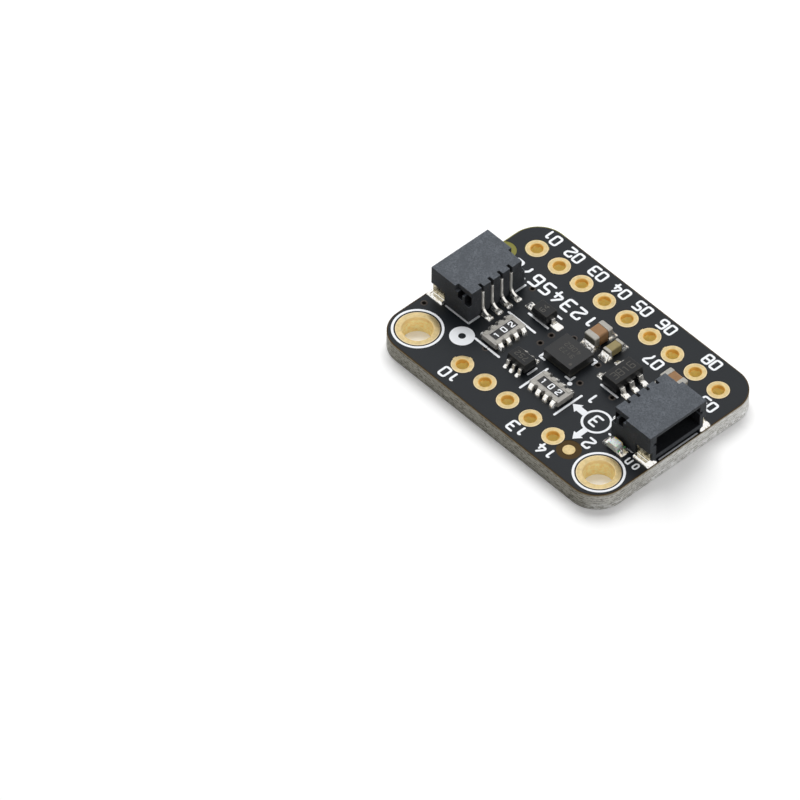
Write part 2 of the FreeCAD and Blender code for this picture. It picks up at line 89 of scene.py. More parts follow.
class BoardLook(bpy.types.PropertyGroup):
    """Laminate, mask and plating."""
    mask_thickness: size("Mask thickness", "Depth of the mask on each face", 0.02 * MM)
    mask_setback: size("Mask setback", "Bare laminate left along the board's edge", 0.09 * MM)
    window_gap: size("Window gap", "Bare ring between a plated ring and the mask", 0.05 * MM)
    ring_rise: size("Ring rise", "How far a plated ring stands above the laminate", 0.034 * MM)
    plating: size("Plating", "Wall of the copper tube in a plated hole", 0.035 * MM)
    via_radius: size("Via radius", "Radius of the small through holes", 0.17 * MM)
    ring_bevel: size("Ring bevel", "Width of the sloping rim of a plated ring", 0.05 * MM)
    mask_colour: colour("Mask colour", "Black solder mask", (0.0050, 0.0068, 0.0092))
    # The two edge colours carry painted light and shade: the short sides' pale colour is partly painted
    # light, the long sides' dark one partly painted shade.
    edge_dark: colour("Edge, shaded", "Cut laminate at the long sides", (0.385, 0.37, 0.315))
    edge_light: colour("Edge, bright", "Cut laminate at the short sides", (0.82, 0.815, 0.79))
    core_colour: colour("Core", "Bare laminate seen through a window", (0.050, 0.027, 0.004))
    gold_colour: colour("Gold", "Gold plating", (0.79, 0.62, 0.32))


class PrintLook(bpy.types.PropertyGroup):
    """White ink."""
    stroke: size("Stroke", "Width of the printed lines", 0.20 * MM)
    ink_rise: FloatProperty(name="Ink rise", description="Ink depth as a share of the stroke", default=0.075)
    corner: size("Corner", "Rounding of the bends in a stroke", 0.16 * MM)
    label_height: size("Label height", "Height of the pin numbers", 0.95 * MM)
    ink_colour: colour("Ink", "White ink", (0.90, 0.92, 0.95))


class SocketLook(bpy.types.PropertyGroup):
    """Plug sockets."""
    edge: size("Edge rounding", "Rounding of the moulded edges", 0.045 * MM)
    metal_edge: size("Metal rounding", "Rounding of the blanked contacts", 0.03 * MM)
    plastic_colour: colour("Plastic", "Moulded housing", (0.112, 0.123, 0.139))
    metal_colour: colour("Tin", "Tinned contacts and leads", (0.98, 0.96, 0.91))


class ChipLook(bpy.types.PropertyGroup):
    """Chips and their solder."""
    resin_edge: size("Resin rounding", "Rounding of the moulded packages", 0.03 * MM)
    ceramic_edge: size("Ceramic rounding", "Rounding of the ceramic chips", 0.035 * MM)
    capacitor_edge: FloatProperty(name="Capacitor rounding", description="Rounding, as a share of the width",
                                  default=0.14, min=0.0, max=0.4)
    solder_spokes: IntProperty(name="Solder spokes", description="Faces around a solder joint", default=48,
                               min=12)
    resin_colour: colour("Resin", "Black moulding resin", (0.0095, 0.0100, 0.0108))
    solder_colour: colour("Solder", "Bright solder", (0.99, 0.98, 0.955))
    brown_colour: colour("Brown ceramic", "Large capacitors", (0.26, 0.142, 0.064))
    olive_colour: colour("Olive ceramic", "Small capacitor", (0.245, 0.20, 0.09))


class StageLook(bpy.types.PropertyGroup):
    """Floor, lights and camera."""
    floor_size: size("Floor", "Side of the square floor", 3.0)
    sky_strength: FloatProperty(name="Sky", description="Strength of the white surroundings", default=0.20,
                                min=0)
    key_power: FloatProperty(name="Key light", description="Power of the large soft lamp", default=3.0,
                             min=0, unit="POWER")
    side_power: FloatProperty(name="Side light", description="Power of the lamp at the right", default=0.72,
                              min=0, unit="POWER")
    camera_distance: size("Camera distance", "From the board's origin along the line of sight", 0.7708909)


GROUPS = {"board": BoardLook, "ink": PrintLook, "socket": SocketLook, "chip": ChipLook, "stage": StageLook}


# Shader maths: a socket with Python's own operators


class Wire:
    """A value that leaves a shader node."""

    def __init__(self, shader, socket):
        self.shader = shader
        self.socket = socket

    def math(self, operation, *others):
        return self.shader.node("ShaderNodeMath", {"operation": operation}, (self, *others))

    def __add__(self, other):
        return self.math("ADD", other)

    def __mul__(self, other):
        return self.math("MULTIPLY", other)

    def __sub__(self, other):
        return self.math("SUBTRACT", other)

    def __rsub__(self, other):
        return self.shader.node("ShaderNodeMath", {"operation": "SUBTRACT"}, (other, self))

    __radd__ = __add__
    __rmul__ = __mul__

    def __abs__(self):
        return self.math("ABSOLUTE")


def new_node(tree, kind, settings=None, inputs=()):
    """A node with its settings made first, then its sockets' values or links."""
    made = tree.nodes.new(kind)
    for key, value in (settings or {}).items():
        setattr(made, key, value)
    pairs = inputs.items() if isinstance(inputs, dict) else enumerate(inputs)
    for key, value in pairs:
        source = value.socket if isinstance(value, Wire) else value
        if isinstance(source, bpy.types.NodeSocket):
            tree.links.new(source, made.inputs[key])
        else:
            made.inputs[key].default_value = source
    return made


def opaque(value):
    """A colour with its alpha, or any other value as it is."""
    return (*value, 1.0) if isinstance(value, tuple) and len(value) == 3 else value


WHITE = (1.0, 1.0, 1.0, 1.0)
# Rays that show a surface, where the others only bring its light
SHARP_RAYS = ("Is Camera Ray", "Is Glossy Ray", "Is Transmission Ray")


class Shader:
    """The nodes of a material or of the world, from the coordinates to the surface."""

    def __init__(self, owner):
        self.owner = owner
        owner.use_nodes = True
        self.tree = owner.node_tree
        self.tree.nodes.clear()

    def node(self, kind, settings=None, inputs=(), output=0):
        """What leaves a new node, or nothing where it has no output."""
        made = new_node(self.tree, kind, settings, inputs)
        return Wire(self, made.outputs[output]) if made.outputs else None

    def spot(self):
        """Object coordinates, in metres."""
        return self.node("ShaderNodeTexCoord", output="Object")

    def axis(self, letter):
        """One of the object coordinates, in metres."""
        return self.node("ShaderNodeSeparateXYZ", inputs=(self.spot(),), output=letter)

    def facing(self, letter):
        """How far the surface faces along an axis, from -1 to 1."""
        normal = self.node("ShaderNodeNewGeometry", output="True Normal")
        return self.node("ShaderNodeSeparateXYZ", inputs=(normal,), output=letter)

    def upright(self, start, full):
        """0 on a level face, 1 on an upright one; the limits are how far it still faces up or down."""
        return self.between(abs(self.facing("Z")), start, full)

    def noise(self, grain, detail=2.0, roughness=0.5, stretch=(1, 1, 1)):
        """Noise from 0 to 1 whose features are about one grain across, longer where stretch is above 1."""
        scaled = self.node("ShaderNodeVectorMath", {"operation": "MULTIPLY"},
                           (self.spot(), tuple(1 / (grain * share) for share in stretch)))
        return self.node("ShaderNodeTexNoise", inputs={"Vector": scaled, "Scale": 1.0, "Detail": detail,
                                                       "Roughness": roughness})

    def between(self, value, low, high):
        """0 below low, 1 above high and smooth between them; falls where low is above high."""
        settings = {"interpolation_type": "SMOOTHSTEP", "clamp": True}
        if low > high:
            return 1 - self.node("ShaderNodeMapRange", settings, (value, high, low))
        return self.node("ShaderNodeMapRange", settings, (value, low, high))

    def within(self, value, low, high):
        """1 from low to high, 0 outside of a narrow soft border."""
        soft = 0.03 * MM
        return self.between(value, low - soft, low) * self.between(value, high + soft, high)

    def sharp_ray(self):
        """1 on a ray that shows the surface, 0 on one that only brings its light."""
        camera, glossy, clear = (self.node("ShaderNodeLightPath", output=name) for name in SHARP_RAYS)
        return camera.math("MAXIMUM", glossy).math("MAXIMUM", clear)

    def blend(self, factor, a, b):
        """Colour a where factor is 0, colour b where it is 1."""
        return self.node("ShaderNodeMix", {"data_type": "RGBA"}, {0: factor, 6: opaque(a), 7: opaque(b)}, 2)

    def bump(self, height, depth):
        """A normal raised by height times depth, in metres."""
        return self.node("ShaderNodeBump", inputs={"Height": height, "Distance": depth})

    def surface(self, **values):
        """The Principled surface. Underscores stand for the spaces in its sockets' names."""
        inputs = {key.replace("_", " "): opaque(value) for key, value in values.items()}
        closure = self.node("ShaderNodeBsdfPrincipled", inputs=inputs)
        self.node("ShaderNodeOutputMaterial", inputs={"Surface": closure})
        return self.owner


# Materials


def paint(name, make):
    """The material of that name, made the first time it is asked for."""
    found = bpy.data.materials.get(name)
    return found if found else make(Shader(bpy.data.materials.new(name)))


def look(context, group):
    """A group of the sizes and colours that a user can change."""
    return getattr(context.scene, "sensor_" + group)


def chosen(group, key):
    """One of the colours that a user can change."""
    return tuple(getattr(look(bpy.context, group), key))[:3]


def toned(base, share):
    """A colour made darker or paler."""
    return tuple(min(1.0, value * share) for value in base)


def mask_paint(s):
    """Black mask, cloudy and finely uneven."""
    base = chosen("board", "mask_colour")
    cloud = s.noise(2.2 * MM, 3)
    skin = s.noise(0.16 * MM, 3, 0.6)
    return s.surface(Base_Color=s.blend(cloud, base, toned(base, 1.3)),
                     Roughness=0.30 + cloud * 0.10 + skin * 0.06, IOR=1.40, Normal=s.bump(skin, 0.006 * MM))


def laminate_paint(s):
    """Pale cut edges, and a brown core on the faces that look up or down, olive in the far left corner."""
    fibre = s.noise(0.15 * MM, 4, 0.75, (1.5, 1.5, 0.9))
    flake = s.noise(0.42 * MM, 3, 0.6, (1.5, 1.5, 0.6))
    olive = s.between(s.axis("X"), -9.0 * MM, -10.0 * MM) * s.between(s.axis("Y"), 0.0, 2.0 * MM)
    core = s.blend(olive, chosen("board", "core_colour"), (0.20, 0.19, 0.045))
    flat = s.between(abs(s.facing("Z")), 0.6, 0.8)
    return s.surface(Base_Color=s.blend(flat, cut_edge(s, fibre, flake), core), Roughness=0.62 - flat * 0.2,
                     Specular_IOR_Level=0.22, Normal=s.bump((fibre + flake * 0.8) * (1 - flat), 0.06 * MM))


PLY_PITCH = 0.23 * MM


def cut_edge(s, fibre, flake):
    """Glass plies in resin: bright on the short sides, less so near the front, and brown under the mask. The
    short sides' brightness is partly painted light, and the long sides' darker tone partly painted shade.
    """
    height = s.axis("Z")
    near = s.between(s.axis("Y"), -1.8 * MM, -4.2 * MM)
    across = s.between(abs(s.axis("X")), 10.2 * MM, 12.4 * MM) * (1 - near * 0.5)
    # Partly painted light and shade: the pale colour goes on the short sides, the dark one on the long sides.
    glass = s.blend(across, chosen("board", "edge_dark"), chosen("board", "edge_light"))
    pit = s.blend(across, (0.040, 0.034, 0.022), (0.36, 0.35, 0.31))
    plies = (height * (ROUND / PLY_PITCH) + flake * 9).math("SINE") * 0.5 + 0.5
    shade = s.between(fibre * 0.66 + flake * 0.36 + plies * 0.10, 0.45, 0.61)
    tone = s.blend(shade, s.blend(0.75, glass, pit), glass)
    # Pale specks on the cut: painted glints.
    glint = s.noise(0.10 * MM, 2, 0.6, (1.4, 1.4, 0.8))
    tone = s.blend(s.between(glint, 0.62, 0.72) * 0.6, tone, (0.80, 0.78, 0.70))
    tuft = s.noise(0.5 * MM, 2, 0.6, (1, 1, 0.45))
    low = s.between(height, 0.72 * MM, 0.42 * MM) * across
    tone = s.blend(s.between(tuft, 0.50, 0.58) * low, tone, (1.0, 1.0, 0.99))
    rim = s.between(height, TOP - 0.20 * MM, TOP - 0.05 * MM)
    return s.blend(rim * 0.8, tone, (0.20, 0.145, 0.060))


def gold_paint(s):
    """Gold plating: pale on the rings, with a painted highlight on their sloping rims, deep in the holes."""
    base = chosen("board", "gold_colour")
    cloud = s.noise(0.34 * MM, 3, 0.6)
    skin = s.noise(0.07 * MM, 3, 0.6)
    streak = s.noise(0.26 * MM, 4, 0.65, (1, 1, 0.5))
    slope = abs(s.facing("Z"))
    deep = s.between(slope, 0.90, 0.78)
    wide = s.between(abs(s.axis("X")), 8.2 * MM, 8.4 * MM) * s.between(s.axis("Y"), 0.0, -0.2 * MM)
    tone = s.blend(s.between(cloud, 0.25, 0.75), toned(base, 0.86), toned(base, 1.10))
    # Painted highlight: the rings' sloping rims are painted paler.
    rim = s.between(slope, 0.990, 0.975) * s.between(slope, 0.80, 0.90)
    tone = s.blend(rim * 0.7, s.blend(deep, tone, hole_wall(s, wide, streak)), (1.0, 0.86, 0.60))
    return s.surface(Base_Color=tone, Metallic=1 - deep * (0.85 - wide * 0.25),
                     Roughness=0.30 + skin * 0.14 + deep * 0.10,
                     Normal=s.bump(skin * 0.5 + cloud * 0.8 + deep * streak, 0.012 * MM))


def hole_wall(s, wide, streak):
    """Worn gold in a hole, with painted shade, darker and browner, along its top edge. Wide is 1 in the
    mounting holes and 0 in the pin holes.
    """
    worn = s.between(streak, 0.30, 0.68)
    tone = s.blend(wide, s.blend(worn, (1.0, 0.83, 0.34), (1.0, 0.92, 0.54)),
                   s.blend(worn, (0.96, 0.72, 0.30), (1.0, 0.95, 0.62)))
    height = s.axis("Z") + s.noise(0.30 * MM, 1) * (0.5 * MM)
    # Painted shade: the top of the wall is painted darker and browner.
    brow = s.between(height, TOP - 0.16 * MM, TOP - 0.02 * MM)
    return s.blend(brow * 0.8, tone, s.blend(wide, (0.90, 0.50, 0.09), (0.92, 0.72, 0.38)))


def via_paint(s):
    """Dark dull plating of the small through holes."""
    skin = s.noise(0.06 * MM, 2)
    return s.surface(Base_Color=s.blend(skin, (0.030, 0.025, 0.022), (0.075, 0.061, 0.052)), Metallic=0.3,
                     Roughness=0.45 + skin * 0.2)


def ink_paint(s):
    """White ink with a few pores."""
    base = chosen("ink", "ink_colour")
    cloud = s.noise(0.6 * MM, 3)
    speck = s.noise(0.05 * MM, 3, 0.7)
    tone = s.blend(cloud, toned(base, 0.90), base)
    return s.surface(Base_Color=s.blend(s.between(speck, 0.30, 0.18), tone, (0.45, 0.46, 0.48)),
                     Roughness=0.55, Normal=s.bump(speck, 0.006 * MM))


# Hollows of a plug socket, for the plug and beside the rear, where the housing is painted near black as
# painted shade: their ranges in millimetres out along X, out along Y and up from the board
SHADED_HOLLOWS = (
    ((8.83, 13.0), (0.0, 2.33), (0.69, 2.64)),
    ((8.06, 9.25), (2.10, 2.93), (1.63, 2.44)),
)


def housing_paint(s):
    """Matt moulded plastic with a fine sparked grain and faint flow marks, painted shade on its upright
    sides, and near-black painted shade in its hollows.
    """
    base = chosen("socket", "plastic_colour")
    grain = s.noise(0.15 * MM, 3, 0.7)
    fleck = s.noise(0.10 * MM, 2, 0.6)
    cloud = s.noise(1.1 * MM, 4, 0.6)
    tone = s.blend(s.between(cloud, 0.3, 0.7), toned(base, 0.84), toned(base, 1.20))
    tone = s.blend(s.between(grain, 0.38, 0.62), toned(base, 0.74), tone)
    tone = s.blend(s.between(fleck, 0.60, 0.74) * 0.4, tone, toned(base, 2.0))
    # Painted shade: the upright sides are painted darker.
    tone = s.blend(s.upright(0.7, 0.4) * 0.6, tone, (0.012, 0.012, 0.012))
    places = (abs(s.axis("X")), abs(s.axis("Y")), s.axis("Z") - TOP)
    # Painted shade: the hollows are painted near black.
    for ranges in SHADED_HOLLOWS:
        inside = 1.0
        for place, (low, high) in zip(places, ranges):
            inside = s.within(place, low * MM, high * MM) * inside
        tone = s.blend(inside * 0.85, tone, (0.005, 0.005, 0.006))
    return s.surface(Base_Color=tone, Roughness=0.54 + grain * 0.12, Specular_IOR_Level=0.08,
                     Normal=s.bump(grain, 0.016 * MM))


def tin_paint(s):
    """Bright tin, duller on upright faces."""
    base = chosen("socket", "metal_colour")
    cloud = s.noise(0.30 * MM, 3)
    wave = s.noise(0.22 * MM, 2)
    return s.surface(Base_Color=s.blend(cloud, toned(base, 0.90), base),
                     Metallic=0.95 - s.upright(0.6, 0.3) * 0.5, Roughness=0.10 + cloud * 0.12,
                     Normal=s.bump(wave, 0.008 * MM))


def tab_paint(s):
    """Folded solder tabs: bright tin where they lie, and a painted dark gold reflection where they stand up.
    """
    cloud = s.noise(0.20 * MM, 3, 0.6)
    # Painted reflection: the upright faces are painted dark gold.
    golden_reflection = s.blend(s.between(cloud, 0.35, 0.65), (0.22, 0.19, 0.11), (0.70, 0.64, 0.48))
    tone = s.blend(s.upright(0.6, 0.3), chosen("socket", "metal_colour"), golden_reflection)
    return s.surface(Base_Color=tone, Metallic=0.95, Roughness=0.14 + cloud * 0.14,
                     Normal=s.bump(cloud, 0.012 * MM))


def cup_paint(s):
    """Matt plated ends of the ceramic chips, with darker specks, and painted shade on the sides that face -Y.
    """
    cloud = s.noise(0.22 * MM, 3, 0.6)
    speck = s.noise(0.05 * MM, 2, 0.6)
    tone = s.blend(cloud, (0.36, 0.345, 0.31), (0.56, 0.545, 0.505))
    tone = s.blend(s.between(speck, 0.62, 0.75) * 0.4, tone, (0.25, 0.245, 0.23))
    # Painted shade: the sides that face -Y are painted dark.
    tone = s.blend(s.between(s.facing("Y"), -0.6, -0.9) * 0.7, tone, (0.14, 0.135, 0.10))
    return s.surface(Base_Color=tone, Metallic=0.85, Roughness=0.36 + speck * 0.2,
                     Normal=s.bump(speck, 0.008 * MM))


def solder_paint(s):
    """Bright solder with warm patches, and a painted dark reflection in patches where it is steep."""
    cloud = s.noise(0.34 * MM, 1)
    warm = s.between(s.noise(0.26 * MM, 1), 0.55, 0.80)
    dark = s.between(s.noise(0.20 * MM, 1), 0.50, 0.75)
    tone = s.blend(warm * 0.5, chosen("chip", "solder_colour"), (0.80, 0.66, 0.42))
    # Painted reflection: the steep faces are painted dark in patches.
    tone = s.blend(s.upright(0.86, 0.60) * dark * 0.6, tone, (0.40, 0.33, 0.17))
    return s.surface(Base_Color=tone, Metallic=0.95, Roughness=0.10 + cloud * 0.18,
                     Normal=s.bump(cloud, 0.035 * MM))


def resin_paint(s):
    """Black moulding resin, with a painted highlight along its rounded and drafted edges."""
    base = chosen("chip", "resin_colour")
    grain = s.noise(0.035 * MM, 3, 0.7)
    cloud = s.noise(0.7 * MM, 2)
    slope = abs(s.facing("Z"))
    # Painted highlight: the sloping faces of the edges are painted paler.
    edge = s.between(slope, 0.30, 0.45) * s.between(slope, 0.985, 0.93)
    tone = s.blend(edge * 0.5, s.blend(cloud, base, toned(base, 1.5)), (0.060, 0.055, 0.045))
    return s.surface(Base_Color=tone, Roughness=0.42 + grain * 0.16, Specular_IOR_Level=0.33,
                     Normal=s.bump(grain, 0.006 * MM))


def sensor_paint(s):
    """Smoother than the other packages, with the saw's faint lines and the pale substrate on its sides."""
    base = chosen("chip", "resin_colour")
    grain = s.noise(0.03 * MM, 2)
    saw = s.noise(0.03 * MM, 2, 0.6, (20, 20, 1))
    side = s.upright(0.7, 0.5)
    substrate = s.between(s.axis("Z"), TOP + 0.30 * MM, TOP + 0.27 * MM)
    tone = s.blend(side * saw * 0.5, base, (0.05, 0.048, 0.042))
    tone = s.blend(side * substrate, tone, (0.052, 0.050, 0.040))
    return s.surface(Base_Color=tone, Roughness=0.33 + grain * 0.08,
                     Normal=s.bump(grain + side * saw, 0.004 * MM))


def laser_paint(s):
    """Faint grey of a laser mark."""
    speck = s.noise(0.03 * MM, 2, 0.7)
    return s.surface(Base_Color=s.blend(speck, (0.035, 0.034, 0.031), (0.115, 0.11, 0.10)), Roughness=0.75)


def ceramic_paint(s, dark, pale):
    """Fine-grained ceramic between two colours."""
    cloud = s.noise(0.35 * MM, 3)
    grain = s.noise(0.045 * MM, 3, 0.7)
    return s.surface(Base_Color=s.blend(cloud * 0.6 + grain * 0.4, toned(dark, 0.78), pale),
                     Roughness=0.40 + grain * 0.15, Normal=s.bump(grain, 0.006 * MM))


def brown_paint(s):
    base = chosen("chip", "brown_colour")
    return ceramic_paint(s, base, toned(base, 1.22))


def olive_paint(s):
    base = chosen("chip", "olive_colour")
    return ceramic_paint(s, base, toned(base, 1.3))


def alumina_paint(s):
    return ceramic_paint(s, (0.29, 0.28, 0.26), (0.51, 0.49, 0.455))


def glaze_paint(s):
    """Smooth black glaze."""
    cloud = s.noise(0.4 * MM, 2)
    return s.surface(Base_Color=s.blend(cloud, (0.010, 0.010, 0.011), (0.020, 0.020, 0.021)),
                     Roughness=0.22 + cloud * 0.12, Normal=s.bump(s.noise(0.12 * MM, 2), 0.006 * MM))


def lamp_base_paint(s):
    """Pale laminate with greenish cut edges, which are yellow at the far side."""
    grain = s.noise(0.05 * MM, 2)
    tone = s.blend(grain, (0.66, 0.67, 0.62), (0.82, 0.83, 0.78))
    far = s.between(s.axis("Y"), -3.6 * MM, -3.5 * MM)
    rim = s.blend(far, (0.82, 0.88, 0.80), (0.72, 0.55, 0.24))
    return s.surface(Base_Color=s.blend(s.upright(0.7, 0.4), tone, rim), Roughness=0.5)


def lens_paint(s):
    """Milky clear resin with a yellow strip along its far side."""
    haze = s.noise(0.10 * MM, 2)
    tone = s.blend(s.between(haze, 0.40, 0.60), (0.80, 0.83, 0.79), (0.98, 0.98, 0.98))
    far = s.between(s.axis("Y"), -3.43 * MM, -3.37 * MM)
    return s.surface(Base_Color=s.blend(far, tone, (0.86, 0.66, 0.32)), Roughness=0.14 + haze * 0.1,
                     Subsurface_Weight=0.6, Subsurface_Scale=0.35 * MM)


def green_paint(s):
    haze = s.noise(0.08 * MM, 2)
    return s.surface(Base_Color=s.blend(haze, (0.05, 0.26, 0.08), (0.12, 0.42, 0.15)), Roughness=0.35)


def floor_paint(s):
    """White paper: it keeps its shadow, and where nothing shades it the camera sees plain white."""
    grain = s.noise(4 * MM, 2)
    paper = s.node("ShaderNodeBsdfDiffuse",
                   inputs={"Color": s.blend(grain, (0.85, 0.85, 0.85), (0.87, 0.87, 0.87))})
    shine = s.node("ShaderNodeEmission", inputs={"Color": WHITE, "Strength": s.sharp_ray() * 0.18})
    both = s.node("ShaderNodeAddShader", inputs=(paper, shine))
    s.node("ShaderNodeOutputMaterial", inputs={"Surface": both})
    return s.owner


# Meshes

# Degrees between two faces past which their edge is a crease, for each kind of piece, or is rounded
CREASE = 35
GROWN_CREASE = 40
CUP_CREASE = 50
SOLDER_CREASE = 60
ROUNDED_EDGE = 28
# Corners closer than this are one
SAME_CORNER = 0.0001 * MM


def new_object(name, data):
    """An object at the origin, so a mesh has its place in its vertices."""
    made = bpy.data.objects.new(name, data)
    bpy.context.scene.collection.objects.link(made)
    return made


def finish_piece(made, slot, material, replaced=()):
    """Give a piece its material and its place on the body."""
    made.data.materials.clear()
    made.data.materials.append(material)
    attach(made, "root")
    if replaced:
        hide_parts(*replaced)
    return made


def smooth_by_angle(mesh, degrees):
    """Smooth shading, with a crease wherever two faces meet at more than the angle."""
    mesh.shade_smooth()
    mesh.set_sharp_from_angle(angle=math.radians(degrees))


def mesh_from(name, graph, degrees=CREASE):
    """A named mesh from a bmesh, which is freed."""
    mesh = bpy.data.meshes.new(name)
    graph.to_mesh(mesh)
    graph.free()
    smooth_by_angle(mesh, degrees)
    return mesh


def solid(name, graph, degrees=CREASE):
    """An object from a bmesh of closed shapes, with their faces turned outwards."""
    bmesh.ops.recalc_face_normals(graph, faces=graph.faces)
    return new_object(name, mesh_from(name, graph, degrees))


def final_mesh(made):
    """The mesh that an object's curve or modifiers give."""
    bpy.context.view_layer.update()
    return bpy.data.meshes.new_from_object(made.evaluated_get(bpy.context.evaluated_depsgraph_get()))


def baked(made):
    """The object with its modifiers' result as its own mesh."""
    mesh = final_mesh(made)
    mesh.name = made.name
    made.modifiers.clear()
    made.data = mesh
    return made


def rounded(made, width, segments=2):
    """The object with its hard edges rounded."""
    bevel = made.modifiers.new("Edges", "BEVEL")
    bevel.width = width
    bevel.segments = segments
    bevel.limit_method = "ANGLE"
    bevel.angle_limit = math.radians(ROUNDED_EDGE)
    bevel.harden_normals = True
    return baked(made)


def merged(*nodes):
    """One bmesh of CAD nodes, whose loose triangles share their corners."""
    graph = bmesh.new()
    for node in nodes:
        graph.from_mesh(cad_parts[node].data)
    bmesh.ops.remove_doubles(graph, verts=graph.verts, dist=SAME_CORNER)
    return graph


def softened(name, nodes, width, slot, material, segments=2):
    """A piece that replaces CAD nodes by a copy of them whose hard edges are rounded."""
    graph = merged(*nodes)
    bmesh.ops.dissolve_limit(graph, angle_limit=math.radians(1), verts=graph.verts, edges=graph.edges)
    made = rounded(new_object(name, mesh_from(name, graph)), width, segments)
    return finish_piece(made, slot, material, nodes)


def ring_points(radius, count, place=(0.0, 0.0), start=0.0, turn=ROUND):
    """Points around a circle, or along an arc with both its ends."""
    steps = count if turn == ROUND else count - 1
    return [(place[0] + radius * math.cos(start + turn * i / steps),
             place[1] + radius * math.sin(start + turn * i / steps)) for i in range(count)]


def rounded_outline(half_x, half_y, radius, count=16):
    """A rectangle about the origin with round corners, anticlockwise from the corner at +X +Y."""
    points = []
    for i, (sx, sy) in enumerate(((1, 1), (-1, 1), (-1, -1), (1, -1))):
        corner = (sx * (half_x - radius), sy * (half_y - radius))
        points += ring_points(radius, count, corner, i * QUARTER, QUARTER)
    return points


def turned(outline, centre, turn):
    """An outline turned about the origin and then moved to a place."""
    cos, sin = math.cos(turn), math.sin(turn)
    return [(centre[0] + x * cos - y * sin, centre[1] + x * sin + y * cos) for x, y in outline]


def plate(name, outline, holes, low, high):
    """A flat sheet with holes, cut from closed outlines."""
    sheet = bpy.data.curves.new(name, "CURVE")
    sheet.dimensions = "2D"
    sheet.fill_mode = "BOTH"
    sheet.extrude = (high - low) / 2
    for loop in [outline, *holes]:
        spline = sheet.splines.new("POLY")
        spline.points.add(len(loop) - 1)
        for point, (x, y) in zip(spline.points, loop):
            point.co = (x, y, 0.0, 1.0)
        spline.use_cyclic_u = True
    drawn = new_object(name + "_drawn", sheet)
    mesh = final_mesh(drawn)
    bpy.data.objects.remove(drawn)
    bpy.data.curves.remove(sheet)
    graph = bmesh.new()
    graph.from_mesh(mesh)
    bpy.data.meshes.remove(mesh)
    bmesh.ops.remove_doubles(graph, verts=graph.verts, dist=5 * SAME_CORNER)
    bmesh.ops.translate(graph, verts=graph.verts, vec=(0, 0, (low + high) / 2))
    return solid(name, graph)


def wrap(graph, rings):
    """Faces between each ring of vertices and the next one."""
    for ring, after in zip(rings, rings[1:]):
        for i in range(len(ring)):
            j = (i + 1) % len(ring)
            graph.faces.new((ring[i], ring[j], after[j], after[i]))


def round_rings(graph, profile, count, place):
    """A ring of vertices about a vertical line for each (radius, height) of a profile."""
    return [[graph.verts.new((x, y, height)) for x, y in ring_points(radius, count, place)]
            for radius, height in profile]


def lathe(graph, profile, count, place=(0.0, 0.0)):
    """Turn a closed profile of (radius, height) points, which run anticlockwise, about a vertical line."""
    rings = round_rings(graph, profile, count, place)
    wrap(graph, rings + rings[:1])


def button(graph, profile, count, place):
    """Turn an open profile, which starts and ends on the line that it turns about."""
    floor, crown = (graph.verts.new((place[0], place[1], profile[end][1])) for end in (0, -1))
    rings = round_rings(graph, profile[1:-1], count, place)
    wrap(graph, rings)
    for i in range(count):
        j = (i + 1) % count
        graph.faces.new((floor, rings[0][j], rings[0][i]))
        graph.faces.new((crown, rings[-1][i], rings[-1][j]))


def prism(graph, outline, low, high):
    """An upright solid with the given outline, which runs anticlockwise."""
    bottom, upper = ([graph.verts.new((x, y, height)) for x, y in outline] for height in (low, high))
    graph.faces.new(bottom[::-1])
    graph.faces.new(upper)
    wrap(graph, [bottom, upper])


def washer(graph, inner, outer, low, high, count, place):
    """A flat ring."""
    lathe(graph, [(inner, low), (outer, low), (outer, high), (inner, high)], count, place)


# Geometry Nodes


class NodeTree:
    """A Geometry Nodes tree with named inputs, built from calls."""

    def __init__(self, name, inputs):
        self.tree = bpy.data.node_groups.new(name, "GeometryNodeTree")
        face = self.tree.interface
        face.new_socket("Geometry", in_out="INPUT", socket_type="NodeSocketGeometry")
        self.names = {}
        for label, kind in inputs.items():
            socket = face.new_socket(label, in_out="INPUT", socket_type="NodeSocket" + kind)
            self.names[label] = socket.identifier
        face.new_socket("Geometry", in_out="OUTPUT", socket_type="NodeSocketGeometry")
        self.source = self.tree.nodes.new("NodeGroupInput")

    def given(self, label):
        """One of the tree's named inputs."""
        return self.source.outputs[label]

    def node(self, kind, settings=None, inputs=()):
        """The first output of a new node."""
        return new_node(self.tree, kind, settings, inputs).outputs[0]

    def math(self, operation, *values):
        return self.node("ShaderNodeMath", {"operation": operation}, values)

    def join(self, *parts):
        made = self.tree.nodes.new("GeometryNodeJoinGeometry")
        for part in parts:
            self.tree.links.new(part, made.inputs[0])
        return made.outputs[0]

    def end(self, result):
        """Real geometry with its material, as the export needs."""
        real = self.node("GeometryNodeRealizeInstances", inputs=(result,))
        coated = self.node("GeometryNodeSetMaterial",
                           inputs={"Geometry": real, "Material": self.given("Material")})
        new_node(self.tree, "NodeGroupOutput", inputs=(coated,))
        return self

    def grow(self, name, mesh, values):
        """The tree's result on a mesh, as a plain object."""
        made = new_object(name, mesh)
        modifier = made.modifiers.new("Grow", "NODES")
        modifier.node_group = self.tree
        for label, value in values.items():
            modifier[self.names[label]] = value
        baked(made)
        smooth_by_angle(made.data, GROWN_CREASE)
        return made


